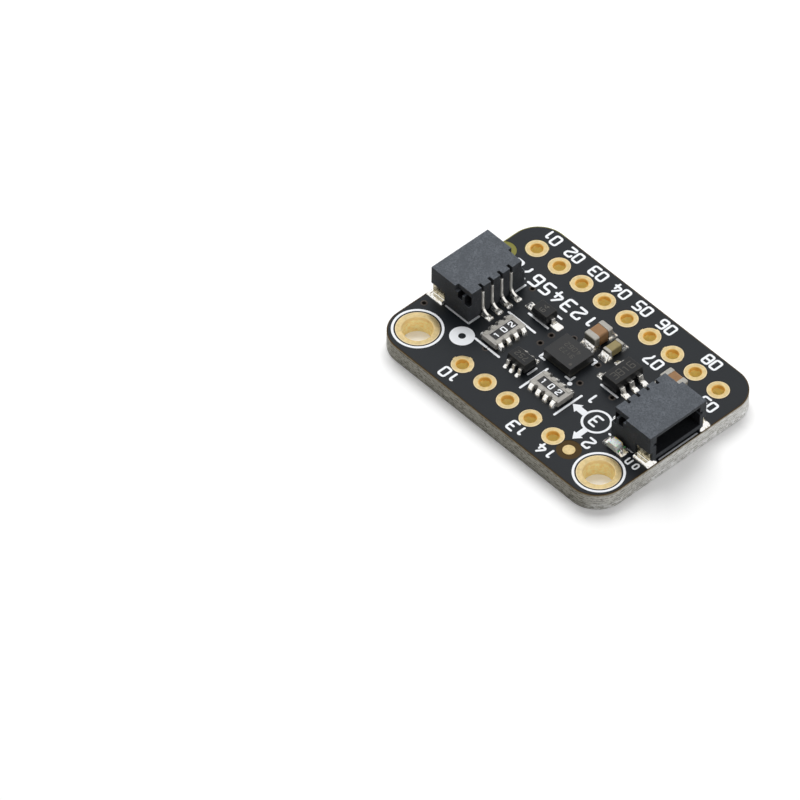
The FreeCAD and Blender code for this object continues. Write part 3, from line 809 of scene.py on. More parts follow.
def row_tree():
    """Repeats one piece along two rows that are parallel to X."""
    tree = NodeTree("Two rows", {"Far count": "Int", "Near count": "Int", "Pitch": "Float", "Row": "Float",
                                 "Material": "Material"})
    rows = []
    for label, side in (("Far count", 1.0), ("Near count", -1.0)):
        span = tree.math("MULTIPLY_ADD", tree.given(label), 0.5, -0.5)
        left = tree.math("MULTIPLY", tree.math("MULTIPLY", span, tree.given("Pitch")), -1.0)
        y = tree.math("MULTIPLY", tree.given("Row"), side)
        start = tree.node("ShaderNodeCombineXYZ", inputs=(left, y, 0.0))
        step = tree.node("ShaderNodeCombineXYZ", inputs=(tree.given("Pitch"), 0.0, 0.0))
        rows.append(tree.node("GeometryNodeMeshLine", inputs={"Count": tree.given(label),
                                                              "Start Location": start, "Offset": step}))
    spread = tree.node("GeometryNodeInstanceOnPoints", inputs={"Points": tree.join(*rows),
                                                               "Instance": tree.given("Geometry")})
    return tree.end(spread)


def stroke_tree():
    """Lays ink along the source's edges: bends are rounded, ends are round, the width is the points' own."""
    tree = NodeTree("Ink strokes", {"Rise": "Float", "Corner": "Float", "Material": "Material"})
    width = tree.node("GeometryNodeInputNamedAttribute", {"data_type": "FLOAT"}, {"Name": "stroke"})
    line = tree.node("GeometryNodeMeshToCurve", inputs=(tree.given("Geometry"),))
    bent = tree.node("GeometryNodeFilletCurve", {"mode": "POLY"},
                     {"Curve": line, "Count": 4, "Radius": tree.given("Corner"), "Limit Radius": True})
    level = tree.node("GeometryNodeSetCurveNormal", {"mode": "Z_UP"}, {"Curve": bent})
    section = tree.node("GeometryNodeCurvePrimitiveQuadrilateral", {"mode": "TRAPEZOID"},
                        {"Bottom Width": 1.0, "Top Width": 0.86, "Offset": 0.0, "Height": tree.given("Rise")})
    ink = tree.node("GeometryNodeCurveToMesh", inputs={"Curve": level, "Profile Curve": section,
                                                       "Scale": width, "Fill Caps": True})
    lower = tree.math("MULTIPLY", tree.given("Rise"), 0.8)
    dab = tree.node("GeometryNodeMeshCylinder", inputs={"Vertices": 16, "Radius": 0.46, "Depth": lower})
    ends = tree.node("GeometryNodeCurveEndpointSelection")
    dabs = tree.node("GeometryNodeInstanceOnPoints", inputs={"Points": bent, "Selection": ends,
                                                             "Instance": dab, "Scale": width})
    return tree.end(tree.join(ink, dabs))


TREES = {}


def tree_of(make):
    """The tree of a maker function, made the first time it is asked for."""
    if make not in TREES:
        TREES[make] = make()
    return TREES[make]


# White ink

# Digits and two letters as strokes in a unit box
CHARACTERS = {
    "0": [[(0, 0), (1, 0), (1, 1), (0, 1), (0, 0)]],
    "1": [[(0.2, 0.75), (0.55, 1), (0.55, 0)]],
    "2": [[(0, 0.75), (0, 1), (1, 1), (1, 0.62), (0, 0.2), (0, 0), (1, 0)]],
    "3": [[(0, 1), (1, 1), (1, 0), (0, 0)], [(0.3, 0.52), (1, 0.52)]],
    "4": [[(0.62, 1), (0, 0.46), (0, 0.3), (1.04, 0.3)], [(0.74, 0.62), (0.74, 0)]],
    "5": [[(1, 1), (0, 1), (0, 0.55), (1, 0.55), (1, 0), (0, 0)]],
    "6": [[(1, 1), (0, 1), (0, 0), (1, 0), (1, 0.52), (0.22, 0.52)]],
    "7": [[(0, 1), (1, 1), (1, 0.8), (0.4, 0.3), (0.4, 0)]],
    "8": [[(0, 0), (1, 0), (1, 1), (0, 1), (0, 0)], [(0, 0.52), (1, 0.52)]],
    "9": [[(0, 0), (1, 0), (1, 1), (0, 1), (0, 0.48), (0.78, 0.48)]],
    "o": [[(0, 0), (1, 0), (1, 1), (0, 1), (0, 0)]],
    "n": [[(0, 0), (0, 1)], [(0, 0.85), (0.2, 1), (1, 1), (1, 0)]],
}
# A character's width and the usual step to the next one, as shares of its height
CHARACTER_WIDTH = 0.62
CHARACTER_STEP = 0.90
# Strokes are spread over seven planes, because faces that overlap in one plane render black
PLANES = 7
PLANE_STEP = 0.0008 * MM


def written(text, centre, height, turn, step=None):
    """Strokes of a short text centred on a place. Turn is how far its upright leans from +Y, in radians."""
    step = step or height * CHARACTER_STEP
    width = height * CHARACTER_WIDTH
    run = step * (len(text) - 1) + width
    strokes = []
    for place, character in enumerate(text):
        start = step * place - run / 2
        for line in CHARACTERS[character]:
            flat = [(start + u * width, (v - 0.5) * height) for u, v in line]
            strokes.append(turned(flat, centre, turn))
    return strokes


def in_mm(*points):
    """Points given in millimetres."""
    return [tuple(value * MM for value in point) for point in points]


def inked(name, groups, height, material, slot=None, corner=None):
    """One piece of ink from groups of (strokes, width), laid at a height."""
    ink = look(bpy.context, "ink")
    mesh = bpy.data.meshes.new(name + "_lines")
    verts, edges, widths = [], [], []
    for strokes, width in groups:
        for line in strokes:
            closed = len(line) > 2 and math.dist(line[0], line[-1]) < 0.001 * MM
            points = line[:-1] if closed else line
            first = len(verts)
            lift = len(verts) % PLANES * PLANE_STEP
            verts += [(x, y, height + lift) for x, y in points]
            edges += [(first + i, first + i + 1) for i in range(len(points) - 1)]
            if closed:
                edges.append((first + len(points) - 1, first))
            widths += [width] * len(points)
    mesh.from_pydata(verts, edges, [])
    mesh.attributes.new("stroke", "FLOAT", "POINT").data.foreach_set("value", widths)
    made = tree_of(stroke_tree).grow(name, mesh, {"Rise": ink.ink_rise, "Corner": corner or ink.corner,
                                                  "Material": material})
    return finish_piece(made, slot, material)


# Board

CORNER_RADIUS = 2.54 * MM
DOT_WINDOW = 1.0 * MM
TRACK_WIDTH = 0.30 * MM
# A small through hole's plating and rim, as a share of a pin hole's, and its ring, in radii of its hole
VIA_SHARE = 0.4
VIA_RING = 1.75
# Straight sides of the round edges
PIN_SIDES = 48
EYELET_SIDES = 72
DOT_SIDES = 40
VIA_SIDES = 20
VIA_RING_SIDES = 24
# Small through holes
VIAS = in_mm((-7.26, 3.13), (-2.67, 0.81), (-2.67, -0.37), (-1.26, 1.88), (2.03, 1.30), (2.46, -1.03),
             (5.24, -0.23), (-11.82, -4.12), (-5.10, -3.87))
# Tracks that leave a pin ring: the hole's number and the way the track runs, in degrees from +X
TRACKS = ((1, 45), (2, 280), (3, 225), (6, 90), (6, 180), (7, 0), (7, 180), (10, 90), (10, 180), (10, 0),
          (13, 30), (14, 80))


def reach(name):
    """Outer radius of a round node, from its box."""
    low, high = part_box(name)
    return (high.x - low.x) / 2


def bore(name):
    """Radius of the hole in a plated ring: its vertices nearest to its middle."""
    centre = middle(name)
    return min((vert.co.xy - centre.xy).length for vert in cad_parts[name].data.vertices)


PIN_BORE = bore(PIN_HOLES[0])
EYELET_BORE = bore(EYELETS[0])


def tube(graph, board, inner, outer, count, place=(0.0, 0.0), share=1.0):
    """A plated hole: a copper wall with a ring that stands above the laminate and one in the mask below.

    Share makes the wall and the rings' sloping rims thinner.
    """
    wall, rim = inner + share * board.plating, share * board.ring_bevel
    low, crown = BOARD_LOW.z, TOP + board.ring_rise
    floor = low + board.mask_thickness
    edge = 0.4 * board.ring_rise
    lathe(graph, [(inner, low + edge), (inner + rim, low), (outer - rim, low), (outer, low + edge),
                  (outer, floor), (wall, floor), (wall, TOP), (outer, TOP),
                  (outer, crown - edge), (outer - rim, crown), (inner + rim, crown), (inner, crown - rim)],
          count, place)


def bitten(outline, centre, radius):
    """The outline with a round bite out of its left side, where a window runs off the edge."""
    edge = min(x for x, y in outline)
    half = math.acos((centre.x - edge) / radius)
    bite = ring_points(radius, DOT_SIDES, centre, math.pi - half, 2 * half - ROUND)
    split = max(i for i, (x, y) in enumerate(outline) if y > centre.y and x < 0)
    return outline[:split + 1] + bite + outline[split + 1:]


class SENSOR_OT_laminate(bpy.types.Operator):
    """Laminate with its holes, and the black mask on both faces"""
    bl_idname = "sensor.laminate"
    bl_label = "Laminate and mask"

    def execute(self, context):
        board = look(context, "board")
        pins = [ring_points(PIN_BORE + board.plating, PIN_SIDES, middle(name)) for name in PIN_HOLES]
        bolts = [ring_points(EYELET_BORE + board.plating, EYELET_SIDES, middle(name)) for name in EYELETS]
        small = [ring_points(board.via_radius + VIA_SHARE * board.plating, VIA_SIDES, spot) for spot in VIAS]
        core = plate("laminate", self.outline(0.0), pins + bolts + small,
                     BOARD_LOW.z + board.mask_thickness, TOP)
        finish_piece(core, "black_laminate", paint("Laminate", laminate_paint), ["circuit_board"])
        self.masks(board)
        return {"FINISHED"}

    def outline(self, inset):
        """The board's outline, drawn in from its edge."""
        return rounded_outline(BOARD_HIGH.x - inset, BOARD_HIGH.y - inset, CORNER_RADIUS - inset)

    def masks(self, board):
        """The mask leaves a window around each ring, and on the top face around the dots too."""
        black = paint("Solder mask", mask_paint)
        outline = self.outline(board.mask_setback)
        low, depth = BOARD_LOW.z, board.mask_thickness
        windows = [ring_points(reach(name) + board.window_gap, PIN_SIDES, middle(name))
                   for name in PIN_HOLES + EYELETS]
        pierced = [ring_points(board.via_radius * VIA_RING, VIA_RING_SIDES, spot) for spot in VIAS]
        under = plate("mask_underside", outline, windows + pierced, low, low + depth)
        finish_piece(under, "black_laminate", black)
        windows.append(ring_points(DOT_WINDOW, PIN_SIDES, middle("alignment_dot_right")))
        outline = bitten(outline, middle("alignment_dot_left"), DOT_WINDOW)
        upper = plate("mask_top", outline, windows + pierced, TOP, TOP + depth)
        finish_piece(upper, "black_laminate", black)


class SENSOR_OT_plating(bpy.types.Operator):
    """Gold rings and tubes of the holes, the ends of tracks beside them and the alignment dots"""
    bl_idname = "sensor.plating"
    bl_label = "Gold plating"

    def execute(self, context):
        board = look(context, "board")
        gold = paint("Gold plate", gold_paint)
        self.pin_holes(board, gold)
        graph = bmesh.new()
        for name in EYELETS:
            tube(graph, board, EYELET_BORE, reach(name), EYELET_SIDES, middle(name))
        finish_piece(solid("mounting_hole_plating", graph), "gold_plate", gold, EYELETS)
        self.tracks(board, gold)
        self.dots(gold)
        self.vias(board)
        return {"FINISHED"}

    def pin_holes(self, board, gold):
        """One plated hole, repeated along both rows."""
        first, second = middle(PIN_HOLES[0]), middle(PIN_HOLES[1])
        far = sum(middle(name).y > 0 for name in PIN_HOLES)
        graph = bmesh.new()
        tube(graph, board, PIN_BORE, reach(PIN_HOLES[0]), PIN_SIDES)
        bmesh.ops.recalc_face_normals(graph, faces=graph.faces)
        rows = tree_of(row_tree).grow("pin_hole_plating", mesh_from("one_pin_hole", graph), {
            "Far count": far, "Near count": len(PIN_HOLES) - far, "Pitch": second.x - first.x,
            "Row": first.y, "Material": gold})
        finish_piece(rows, "gold_plate", gold, PIN_HOLES)

    def tracks(self, board, gold):
        """Short stubs of track in the gap between a ring and the mask."""
        graph = bmesh.new()
        half = TRACK_WIDTH / 2
        for number, degrees in TRACKS:
            name = PIN_HOLES[number - 1]
            start, end = reach(name) - board.ring_rise, reach(name) + board.window_gap
            bar = [(start, -half), (end, -half), (end, half), (start, half)]
            prism(graph, turned(bar, middle(name), math.radians(degrees)), TOP, TOP + board.ring_rise * 0.8)
        finish_piece(solid("track_stubs", graph), "gold_plate", gold)

    def dots(self, gold):
        """Round dots with a sloping rim that starts at half of their height."""
        graph = bmesh.new()
        names = ("alignment_dot_left", "alignment_dot_right")
        for name in names:
            low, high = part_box(name)[0].z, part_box(name)[1].z
            rim = (high - low) * 0.5
            profile = [(0.0, low), (reach(name), low), (reach(name), high - rim), (reach(name) - rim, high),
                       (0.0, high)]
            button(graph, profile, DOT_SIDES, middle(name))
        finish_piece(solid("alignment_dots", graph), "gold_plate", gold, names)

    def vias(self, board):
        """The small through holes, with thinner plating than the pin holes."""
        graph = bmesh.new()
        for spot in VIAS:
            tube(graph, board, board.via_radius, board.via_radius * VIA_RING, VIA_SIDES, spot, VIA_SHARE)
        finish_piece(solid("through_hole_plating", graph), "black_laminate", paint("Dull plating", via_paint))


# Print, with its places in millimetres

PIN_LABELS = (("01", -10.16, 8.0), ("02", -7.63, 8.0), ("03", -4.95, 8.0), ("04", -2.39, 8.0),
              ("05", 0.08, 8.0), ("06", 2.75, 8.0), ("07", 4.68, 4.7), ("08", 7.76, 8.0), ("09", 10.70, 4.7),
              ("10", -5.0, -7.88), ("13", 2.63, -7.88), ("14", 5.83, -7.88))
# Outline marks beside the parts, from end to end
MARKS = (
    ((-7.9, 2.0), (-7.9, 2.98)), ((-7.9, -1.95), (-7.9, -3.05), (-10.45, -3.07)),
    ((7.85, -3.02), (8.4, -3.02)), ((9.9, -3.02), (10.4, -3.02)),
    ((-6.68, 0.06), (-3.73, 0.06)), ((-6.40, -3.76), (-5.13, -3.76)), ((-4.93, -3.76), (-3.73, -3.76)),
    ((-0.29, -4.75), (-0.29, -1.85)), ((3.53, -4.75), (3.53, -1.85)),
    ((-5.53, 1.12), (-3.38, 1.12)), ((-3.9, 2.57), (-3.4, 2.57)),
    ((3.7, 0.07), (5.5, 0.07)), ((-0.9, -3.35), (-0.9, -2.45)),
    ((-1.66, -0.85), (-1.66, -1.36), (-1.15, -1.36)), ((1.25, -1.37), (1.75, -1.37), (1.75, -0.9)),
    ((1.72, 1.0), (1.72, 1.48), (1.25, 1.48)), ((-1.60, 1.1), (-1.60, 1.5), (-1.2, 1.5)),
)
# Lines in front of the two plugs' mouths
MOUTH_MARKS = (((12.33, -2.03), (12.33, 1.97)), ((-12.33, -1.97), (-12.33, 2.03)))
# Drawing of the axes: the circle of the one that points up, a small stroke, arrows and numbers
AXES_CENTRE = (6.26, -2.87)
AXES_RADIUS = 1.13
AXES_STROKE = ((6.85, -1.45), (7.07, -1.9))
AXES_NUMBERS = (("1", 4.3, -1.52), ("3", 6.16, -2.87), ("2", 7.48, -4.85))
ARROWS = (
    ((3.67, -2.93), (4.35, -3.43), (4.35, -3.21), (5.05, -3.21), (5.05, -2.65), (4.35, -2.65), (4.35, -2.43)),
    ((6.28, -5.45), (6.78, -4.8), (6.53, -4.8), (6.53, -4.08), (6.03, -4.08), (6.03, -4.8), (5.78, -4.8)),
)
# A dot beside the sensor's first corner, and a round mark
CORNER_DOT = (1.99, -1.65)
ROUND_MARK = (-7.28, -4.34)
THIN_STROKE = 0.15 * MM
AXES_WIDTH = 0.2 * MM
# Keep the outline marks and the axes' drawing off the planes of the numbers that they cross
MARKS_SINK = 0.0021 * MM
AXES_LIFT = 0.0013 * MM


class SENSOR_OT_print(bpy.types.Operator):
    """White ink on the top face: pin numbers, outlines, the axes' drawing, a row of digits, a round mark"""
    bl_idname = "sensor.print"
    bl_label = "White print"

    def execute(self, context):
        ink = look(context, "ink")
        white = paint("White ink", ink_paint)
        ground = TOP + look(context, "board").mask_thickness
        height = ground + ink.stroke * ink.ink_rise / 2
        labels = []
        for text, x, y in PIN_LABELS:
            labels += written(text, (x * MM, y * MM), ink.label_height, math.pi)
        inked("pin_numbers", [(labels, ink.stroke)], height, white)
        marks, mouths = ([in_mm(*line) for line in lines] for lines in (MARKS, MOUTH_MARKS))
        inked("outline_marks", [(marks, ink.stroke), (mouths, THIN_STROKE)], height - MARKS_SINK, white,
              corner=0.01 * MM)
        word = written("on", (11.26 * MM, -3.87 * MM), 0.56 * MM, math.pi, 0.78 * MM)
        inked("lamp_word", [(word, THIN_STROKE)], height, white)
        row = written("12345678", (-5.86 * MM, 3.96 * MM), 1.16 * MM, math.pi, 1.19 * MM)
        inked("number_row", [(row, 1.1 * ink.stroke)], height, white)
        inked("axis_lines", self.axes(ink), height + AXES_LIFT, white)
        self.solid_shapes(ground, ground + ink.stroke * ink.ink_rise * 0.8, white)
        return {"FINISHED"}

    def axes(self, ink):
        """Strokes of the axes' drawing, with their widths."""
        ring = ring_points(AXES_RADIUS * MM, 48, in_mm(AXES_CENTRE)[0])
        numbers = []
        for text, x, y in AXES_NUMBERS:
            numbers += written(text, (x * MM, y * MM), 1.0 * MM, math.pi)
        return [([ring + ring[:1], in_mm(*AXES_STROKE)], AXES_WIDTH), (numbers, ink.stroke)]

    def solid_shapes(self, low, high, white):
        """Arrows, a dot, a round mark with a hole and a circle around each mounting hole."""
        graph = bmesh.new()
        for arrow in ARROWS:
            prism(graph, in_mm(*arrow), low, high)
        dot, mark = in_mm(CORNER_DOT, ROUND_MARK)
        prism(graph, ring_points(0.2 * MM, 24, dot), low, high)
        washer(graph, 0.30 * MM, 1.0 * MM, low, high, 64, mark)
        for name in EYELETS:
            washer(graph, 1.88 * MM, 2.08 * MM, low, high, EYELET_SIDES, middle(name))
        finish_piece(solid("solid_print", graph), None, white)


# Plug sockets


class SENSOR_OT_sockets(bpy.types.Operator):
    """Moulded plug sockets with their contacts and folded tabs"""
    bl_idname = "sensor.sockets"
    bl_label = "Plug sockets"

    def execute(self, context):
        socket = look(context, "socket")
        plastic = paint("Housing plastic", housing_paint)
        tin, folded = paint("Tin", tin_paint), paint("Folded tabs", tab_paint)
        for side in ("left", "right"):
            housing = [side + "_socket_housing"]
            contacts = sorted(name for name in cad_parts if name.startswith(side + "_socket_contact_"))
            tabs = [side + "_socket_tab_near", side + "_socket_tab_far"]
            softened(side + "_housing", housing, socket.edge, "housing_plastic", plastic)
            softened(side + "_contacts", contacts, socket.metal_edge, "tinned_metal", tin)
            softened(side + "_tabs", tabs, socket.metal_edge, "tinned_metal", folded)
        return {"FINISHED"}


# Chips

# Laser marks: piece, package, number, then its height, line, lean, shift towards +Y and step; lengths in mm
CHIP_MARKS = (
    ("regulator_marks", "regulator_body", "3816", 0.66, 0.075, QUARTER, 0.0, 0.58),
    ("transistor_pair_marks", "transistor_pair_body", "752", 0.45, 0.07, math.pi, 0.0, 0.45),
    ("diode_marks", "diode_body", "64", 0.45, 0.075, QUARTER, 0.0, 0.45),
    ("sensor_marks", "sensor_body", "4062", 0.42, 0.055, math.pi, 0.45, 0.42),
    ("sensor_small_marks", "sensor_body", "9173", 0.36, 0.05, math.pi, -0.2, 0.38),
)


class SENSOR_OT_packages(bpy.types.Operator):
    """Moulded packages with bent leads, and the sensor chip"""
    bl_idname = "sensor.packages"
    bl_label = "Moulded packages"

    def execute(self, context):
        edge = look(context, "chip").resin_edge
        resin = paint("Moulding resin", resin_paint)
        tin = paint("Tin", tin_paint)
        for name in ("regulator", "transistor_pair", "diode"):
            softened(name + "_case", [name + "_body"], edge, "chip_plastic", resin)
            softened(name + "_metal", [name + "_leads"], edge, "tinned_metal", tin)
        softened("sensor_case", ["sensor_body"], 0.4 * edge, "chip_plastic",
                 paint("Sensor resin", sensor_paint))
        softened("sensor_pads", ["sensor_lands"], 0.3 * edge, "tinned_metal", tin, 1)
        self.marks()
        return {"FINISHED"}

    def marks(self):
        """Faint laser numbers on the packages, and the dot at the sensor's first corner."""
        faint = paint("Laser mark", laser_paint)
        for name, node, text, tall, width, turn, shift, step in CHIP_MARKS:
            centre = middle(node)
            strokes = written(text, (centre.x, centre.y + shift * MM), tall * MM, turn, step * MM)
            inked(name, [(strokes, width * MM)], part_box(node)[1].z + 0.001 * MM, faint, corner=0.06 * MM)
        low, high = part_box("sensor_body")
        spot = (high.x - 0.42 * MM, low.y + 0.40 * MM)
        graph = bmesh.new()
        prism(graph, ring_points(0.13 * MM, 20, spot), high.z, high.z + 0.003 * MM)
        finish_piece(solid("sensor_corner_dot", graph), "chip_plastic", faint)


# A resistor array's notches between its terminals, and its glaze
NOTCH_PITCH = 0.8 * MM
NOTCH_WIDTH = 0.28 * MM
NOTCH_DEPTH = 0.12 * MM
GLAZE_DEPTH = 0.02 * MM
GLAZE_HALF_WIDTH = 0.38 * MM
GLAZE_END = 0.4 * MM


class SENSOR_OT_arrays(bpy.types.Operator):
    """Resistor arrays: white ceramic, black glaze, wrapped terminals and a number"""
    bl_idname = "sensor.arrays"
    bl_label = "Resistor arrays"

    def execute(self, context):
        edge = look(context, "chip").ceramic_edge
        for side, turn in (("left", QUARTER), ("right", 0.0)):
            body, ends = (f"resistor_array_{side}_{part}" for part in ("body", "terminals"))
            low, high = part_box(body)
            wide, deep = high.x - low.x, high.y - low.y
            half_l, half_w = max(wide, deep) / 2, min(wide, deep) / 2
            glazed = high.z - GLAZE_DEPTH
            notched = notched_outline(half_l, half_w)
            block = self.layer(f"array_{side}_block", notched, body, turn, low.z, glazed)
            finish_piece(rounded(block, edge * 0.7), "array_ceramic", paint("Alumina", alumina_paint), [body])
            field = rounded_outline(half_l - GLAZE_END, GLAZE_HALF_WIDTH, 0.04 * MM, 5)
            glaze = self.layer(f"array_{side}_glaze", field, body, turn, glazed, high.z)
            finish_piece(rounded(glaze, GLAZE_DEPTH * 0.5), "array_ceramic", paint("Glaze", glaze_paint))
            softened(f"array_{side}_terminals", [ends], edge, "tinned_metal", paint("Plated ends", cup_paint))
            number = written("102", middle(body).xy, 0.5 * MM, turn, 0.8 * MM)
            inked(f"array_{side}_number", [(number, 0.11 * MM)], high.z + 0.002 * MM,
                  paint("White ink", ink_paint), "array_ceramic", 0.05 * MM)
        return {"FINISHED"}

    def layer(self, name, outline, body, turn, low, high):
        """A flat layer of the ceramic body, turned as the body is."""
        graph = bmesh.new()
        prism(graph, turned(outline, middle(body), turn), low, high)
        return solid(name, graph)


def notched_outline(half_l, half_w):
    """A rectangle along X, anticlockwise, with three tapered notches in both long sides."""
    side = [(-half_l, -half_w)]
    for place in (-1, 0, 1):
        for step, sink in ((-0.5, 0.0), (-0.28, 1.0), (0.28, 1.0), (0.5, 0.0)):
            side.append((place * NOTCH_PITCH + step * NOTCH_WIDTH, sink * NOTCH_DEPTH - half_w))
    side.append((half_l, -half_w))
    return side + [(-x, -y) for x, y in side]


class SENSOR_OT_capacitors(bpy.types.Operator):
    """Ceramic capacitors with their metal ends"""
    bl_idname = "sensor.capacitors"
    bl_label = "Capacitors"

    def execute(self, context):
        chip = look(context, "chip")
        plated = paint("Plated ends", cup_paint)
        brown, olive = paint("Brown ceramic", brown_paint), paint("Olive ceramic", olive_paint)
        for name, slot, ceramic in (("main", "brown_ceramic", brown), ("corner", "brown_ceramic", brown),
                                    ("small", "olive_ceramic", olive)):
            body, ends = name + "_capacitor_body", name + "_capacitor_ends"
            low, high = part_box(body)
            edge = chip.capacitor_edge * min(high.x - low.x, high.y - low.y)
            softened(name + "_ceramic", [body], edge, slot, ceramic, 3)
            finish_piece(self.cups(name + "_cups", ends, edge), "tinned_metal", plated, [ends])
        return {"FINISHED"}

    def cups(self, name, node, edge):
        """Rounded metal ends, one for each loose solid of the node, dipped to a wavy line."""
        first, last = islands(node)
        along = 0 if last[0].x > first[1].x else 1
        graph = bmesh.new()
        cup(graph, first, along, -1, edge)
        cup(graph, last, along, 1, edge)
        return solid(name, graph, CUP_CREASE)


# The dipped line of a metal end: its lip over the ceramic, the size of its waves and how far they reach
CUP_LIP = 0.03 * MM
CUP_WAVE = 0.30 * MM
CUP_SWING = 0.05 * MM


def cup(graph, block, along, way, edge):
    """A closed metal end that fills a block: wavy where it meets the ceramic, rounded at its outer end."""
    low, high = block
    across = 1 - along
    centre = (low + high) / 2
    half = (high - low) / 2
    inner, outer = (low[along], high[along]) if way > 0 else (high[along], low[along])
    steps = 4
    profile = [(CUP_LIP, inner, 1.0), (0.0, inner + way * CUP_LIP * 0.6, 1.0)]
    for k in range(steps + 1):
        angle = k / steps * QUARTER
        profile.append((edge * (1 - math.cos(angle)), outer - way * edge * (1 - math.sin(angle)), 0.0))
    rings = []
    for inset, place, wave in profile:
        corner = max(edge - inset, 0.2 * edge)
        ring = []
        for u, v in rounded_outline(half[across] - inset, half.z - inset, corner, 10):
            spot = Vector((0.0, 0.0, centre.z + v))
            spot[across] = centre[across] + u
            swell = noise.noise(Vector((u, v, centre[across] + centre[along])) / CUP_WAVE)
            spot[along] = place + way * wave * CUP_SWING * (swell + 0.4)
            ring.append(graph.verts.new(spot))
        rings.append(ring)
    wrap(graph, rings)
    graph.faces.new(rings[0][::-1])
    graph.faces.new(rings[-1])


class SENSOR_OT_lamp(bpy.types.Operator):
    """Power lamp: base, clear lens and metal ends"""
    bl_idname = "sensor.lamp"
    bl_label = "Lamp"

    def execute(self, context):
        edge = look(context, "chip").ceramic_edge
        softened("lamp_block", ["lamp_base"], edge * 0.5, "lamp_base", paint("Lamp base", lamp_base_paint))
        softened("lamp_cover", ["lamp_lens"], edge, "lamp_lens", paint("Lamp lens", lens_paint), 3)
        softened("lamp_terminals", ["lamp_ends"], edge * 0.6, "tinned_metal", paint("Solder", solder_paint))
        self.marks()
        return {"FINISHED"}

    def marks(self):
        """The light's small square and the green polarity marks."""
        low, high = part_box("lamp_lens")
        centre = middle("lamp_lens")
        graph = bmesh.new()
        boxed(graph, Vector((centre.x, centre.y, low.z + 0.06 * MM)), 0.13, 0.13, 0.06)
        made = rounded(solid("lamp_die", graph), 0.015 * MM)
        finish_piece(made, "lamp_lens", paint("Alumina", alumina_paint))
        graph = bmesh.new()
        for y in (low.y + 0.095 * MM, high.y - 0.105 * MM):
            boxed(graph, Vector((high.x + 0.22 * MM, y, low.z + 0.03 * MM)), 0.07, 0.095, 0.03)
        made = rounded(solid("lamp_marks", graph), 0.012 * MM)
        finish_piece(made, "lamp_base", paint("Green mark", green_paint))


def boxed(graph, centre, half_x, half_y, half_z):
    """A box about a point; its half sizes are in millimetres."""
    half = Vector((half_x, half_y, half_z)) * MM
    low, high = centre - half, centre + half
    prism(graph, [(low.x, low.y), (high.x, low.y), (high.x, high.y), (low.x, high.y)], low.z, high.z)


# Solder

# Least distance from a joint's foot out to the edge of its pad
MARGIN = 0.035 * MM
# Solder climbs fully where the pad reaches this much further out
FULL_REACH = 0.15 * MM
PAD_CORNER = 0.16 * MM
FOOT_CORNER = 0.03 * MM
# Height of a joint's rim, and the size and share of the bead's uneven swell
RIM_HEIGHT = 0.02 * MM
SWELL_SIZE = 0.28 * MM
SWELL_SHARE = 0.35
# Solder node, how the names of the metal nodes on it start, the highest climb, the bead's height and how
# full the climb is; lengths in mm
JOINTS = (
    ("solder_left_socket", ("left_socket_contact_", "left_socket_tab_"), 0.20, 0.10, 0.4),
    ("solder_right_socket", ("right_socket_contact_", "right_socket_tab_"), 0.20, 0.10, 0.4),
    ("solder_leads", ("regulator_leads", "transistor_pair_leads", "diode_leads"), 0.16, 0.08, 0.6),
    ("solder_arrays", ("resistor_array_left_terminals", "resistor_array_right_terminals"), 0.48, 0.08, 0.9),
    ("solder_chip_ends", ("main_capacitor_ends", "corner_capacitor_ends", "small_capacitor_ends",
                          "lamp_ends"), 0.42, 0.14, 0.3),
)


def islands(node):
    """The box of each loose solid in a node's mesh, as (low, high) pairs in a fixed order."""
    graph = merged(node)
    boxes = []
    left = set(graph.verts)
    while left:
        pool = [left.pop()]
        spots = []
        while pool:
            vert = pool.pop()
            spots.append(vert.co.copy())
            for edge in vert.link_edges:
                other = edge.other_vert(vert)
                if other in left:
                    left.remove(other)
                    pool.append(other)
        boxes.append([Vector([side(spot[i] for spot in spots) for i in range(3)]) for side in (min, max)])
    graph.free()
    return sorted(boxes, key=lambda found: (round(found[0].x / MM, 3), round(found[0].y / MM, 3)))


def overlaps(one, other):
    """Whether two boxes share some plan area."""
    return all(one[0][i] < other[1][i] and other[0][i] < one[1][i] for i in (0, 1))


def rect_ring(graph, rect, radius, height, count):
    """Vertices of a rounded rectangle; rect is its (x0, x1, y0, y1). Height may follow the way out."""
    x0, x1, y0, y1 = rect
    half_x, half_y = (x1 - x0) / 2, (y1 - y0) / 2
    radius = min(radius, half_x * 0.98, half_y * 0.98)
    points = turned(rounded_outline(half_x, half_y, radius, count), ((x0 + x1) / 2, (y0 + y1) / 2), 0.0)
    ring = []
    for i, (x, y) in enumerate(points):
        way = QUARTER * (i // count) + QUARTER * (i % count) / (count - 1)
        ring.append(graph.verts.new((x, y, height(way))))
    return ring


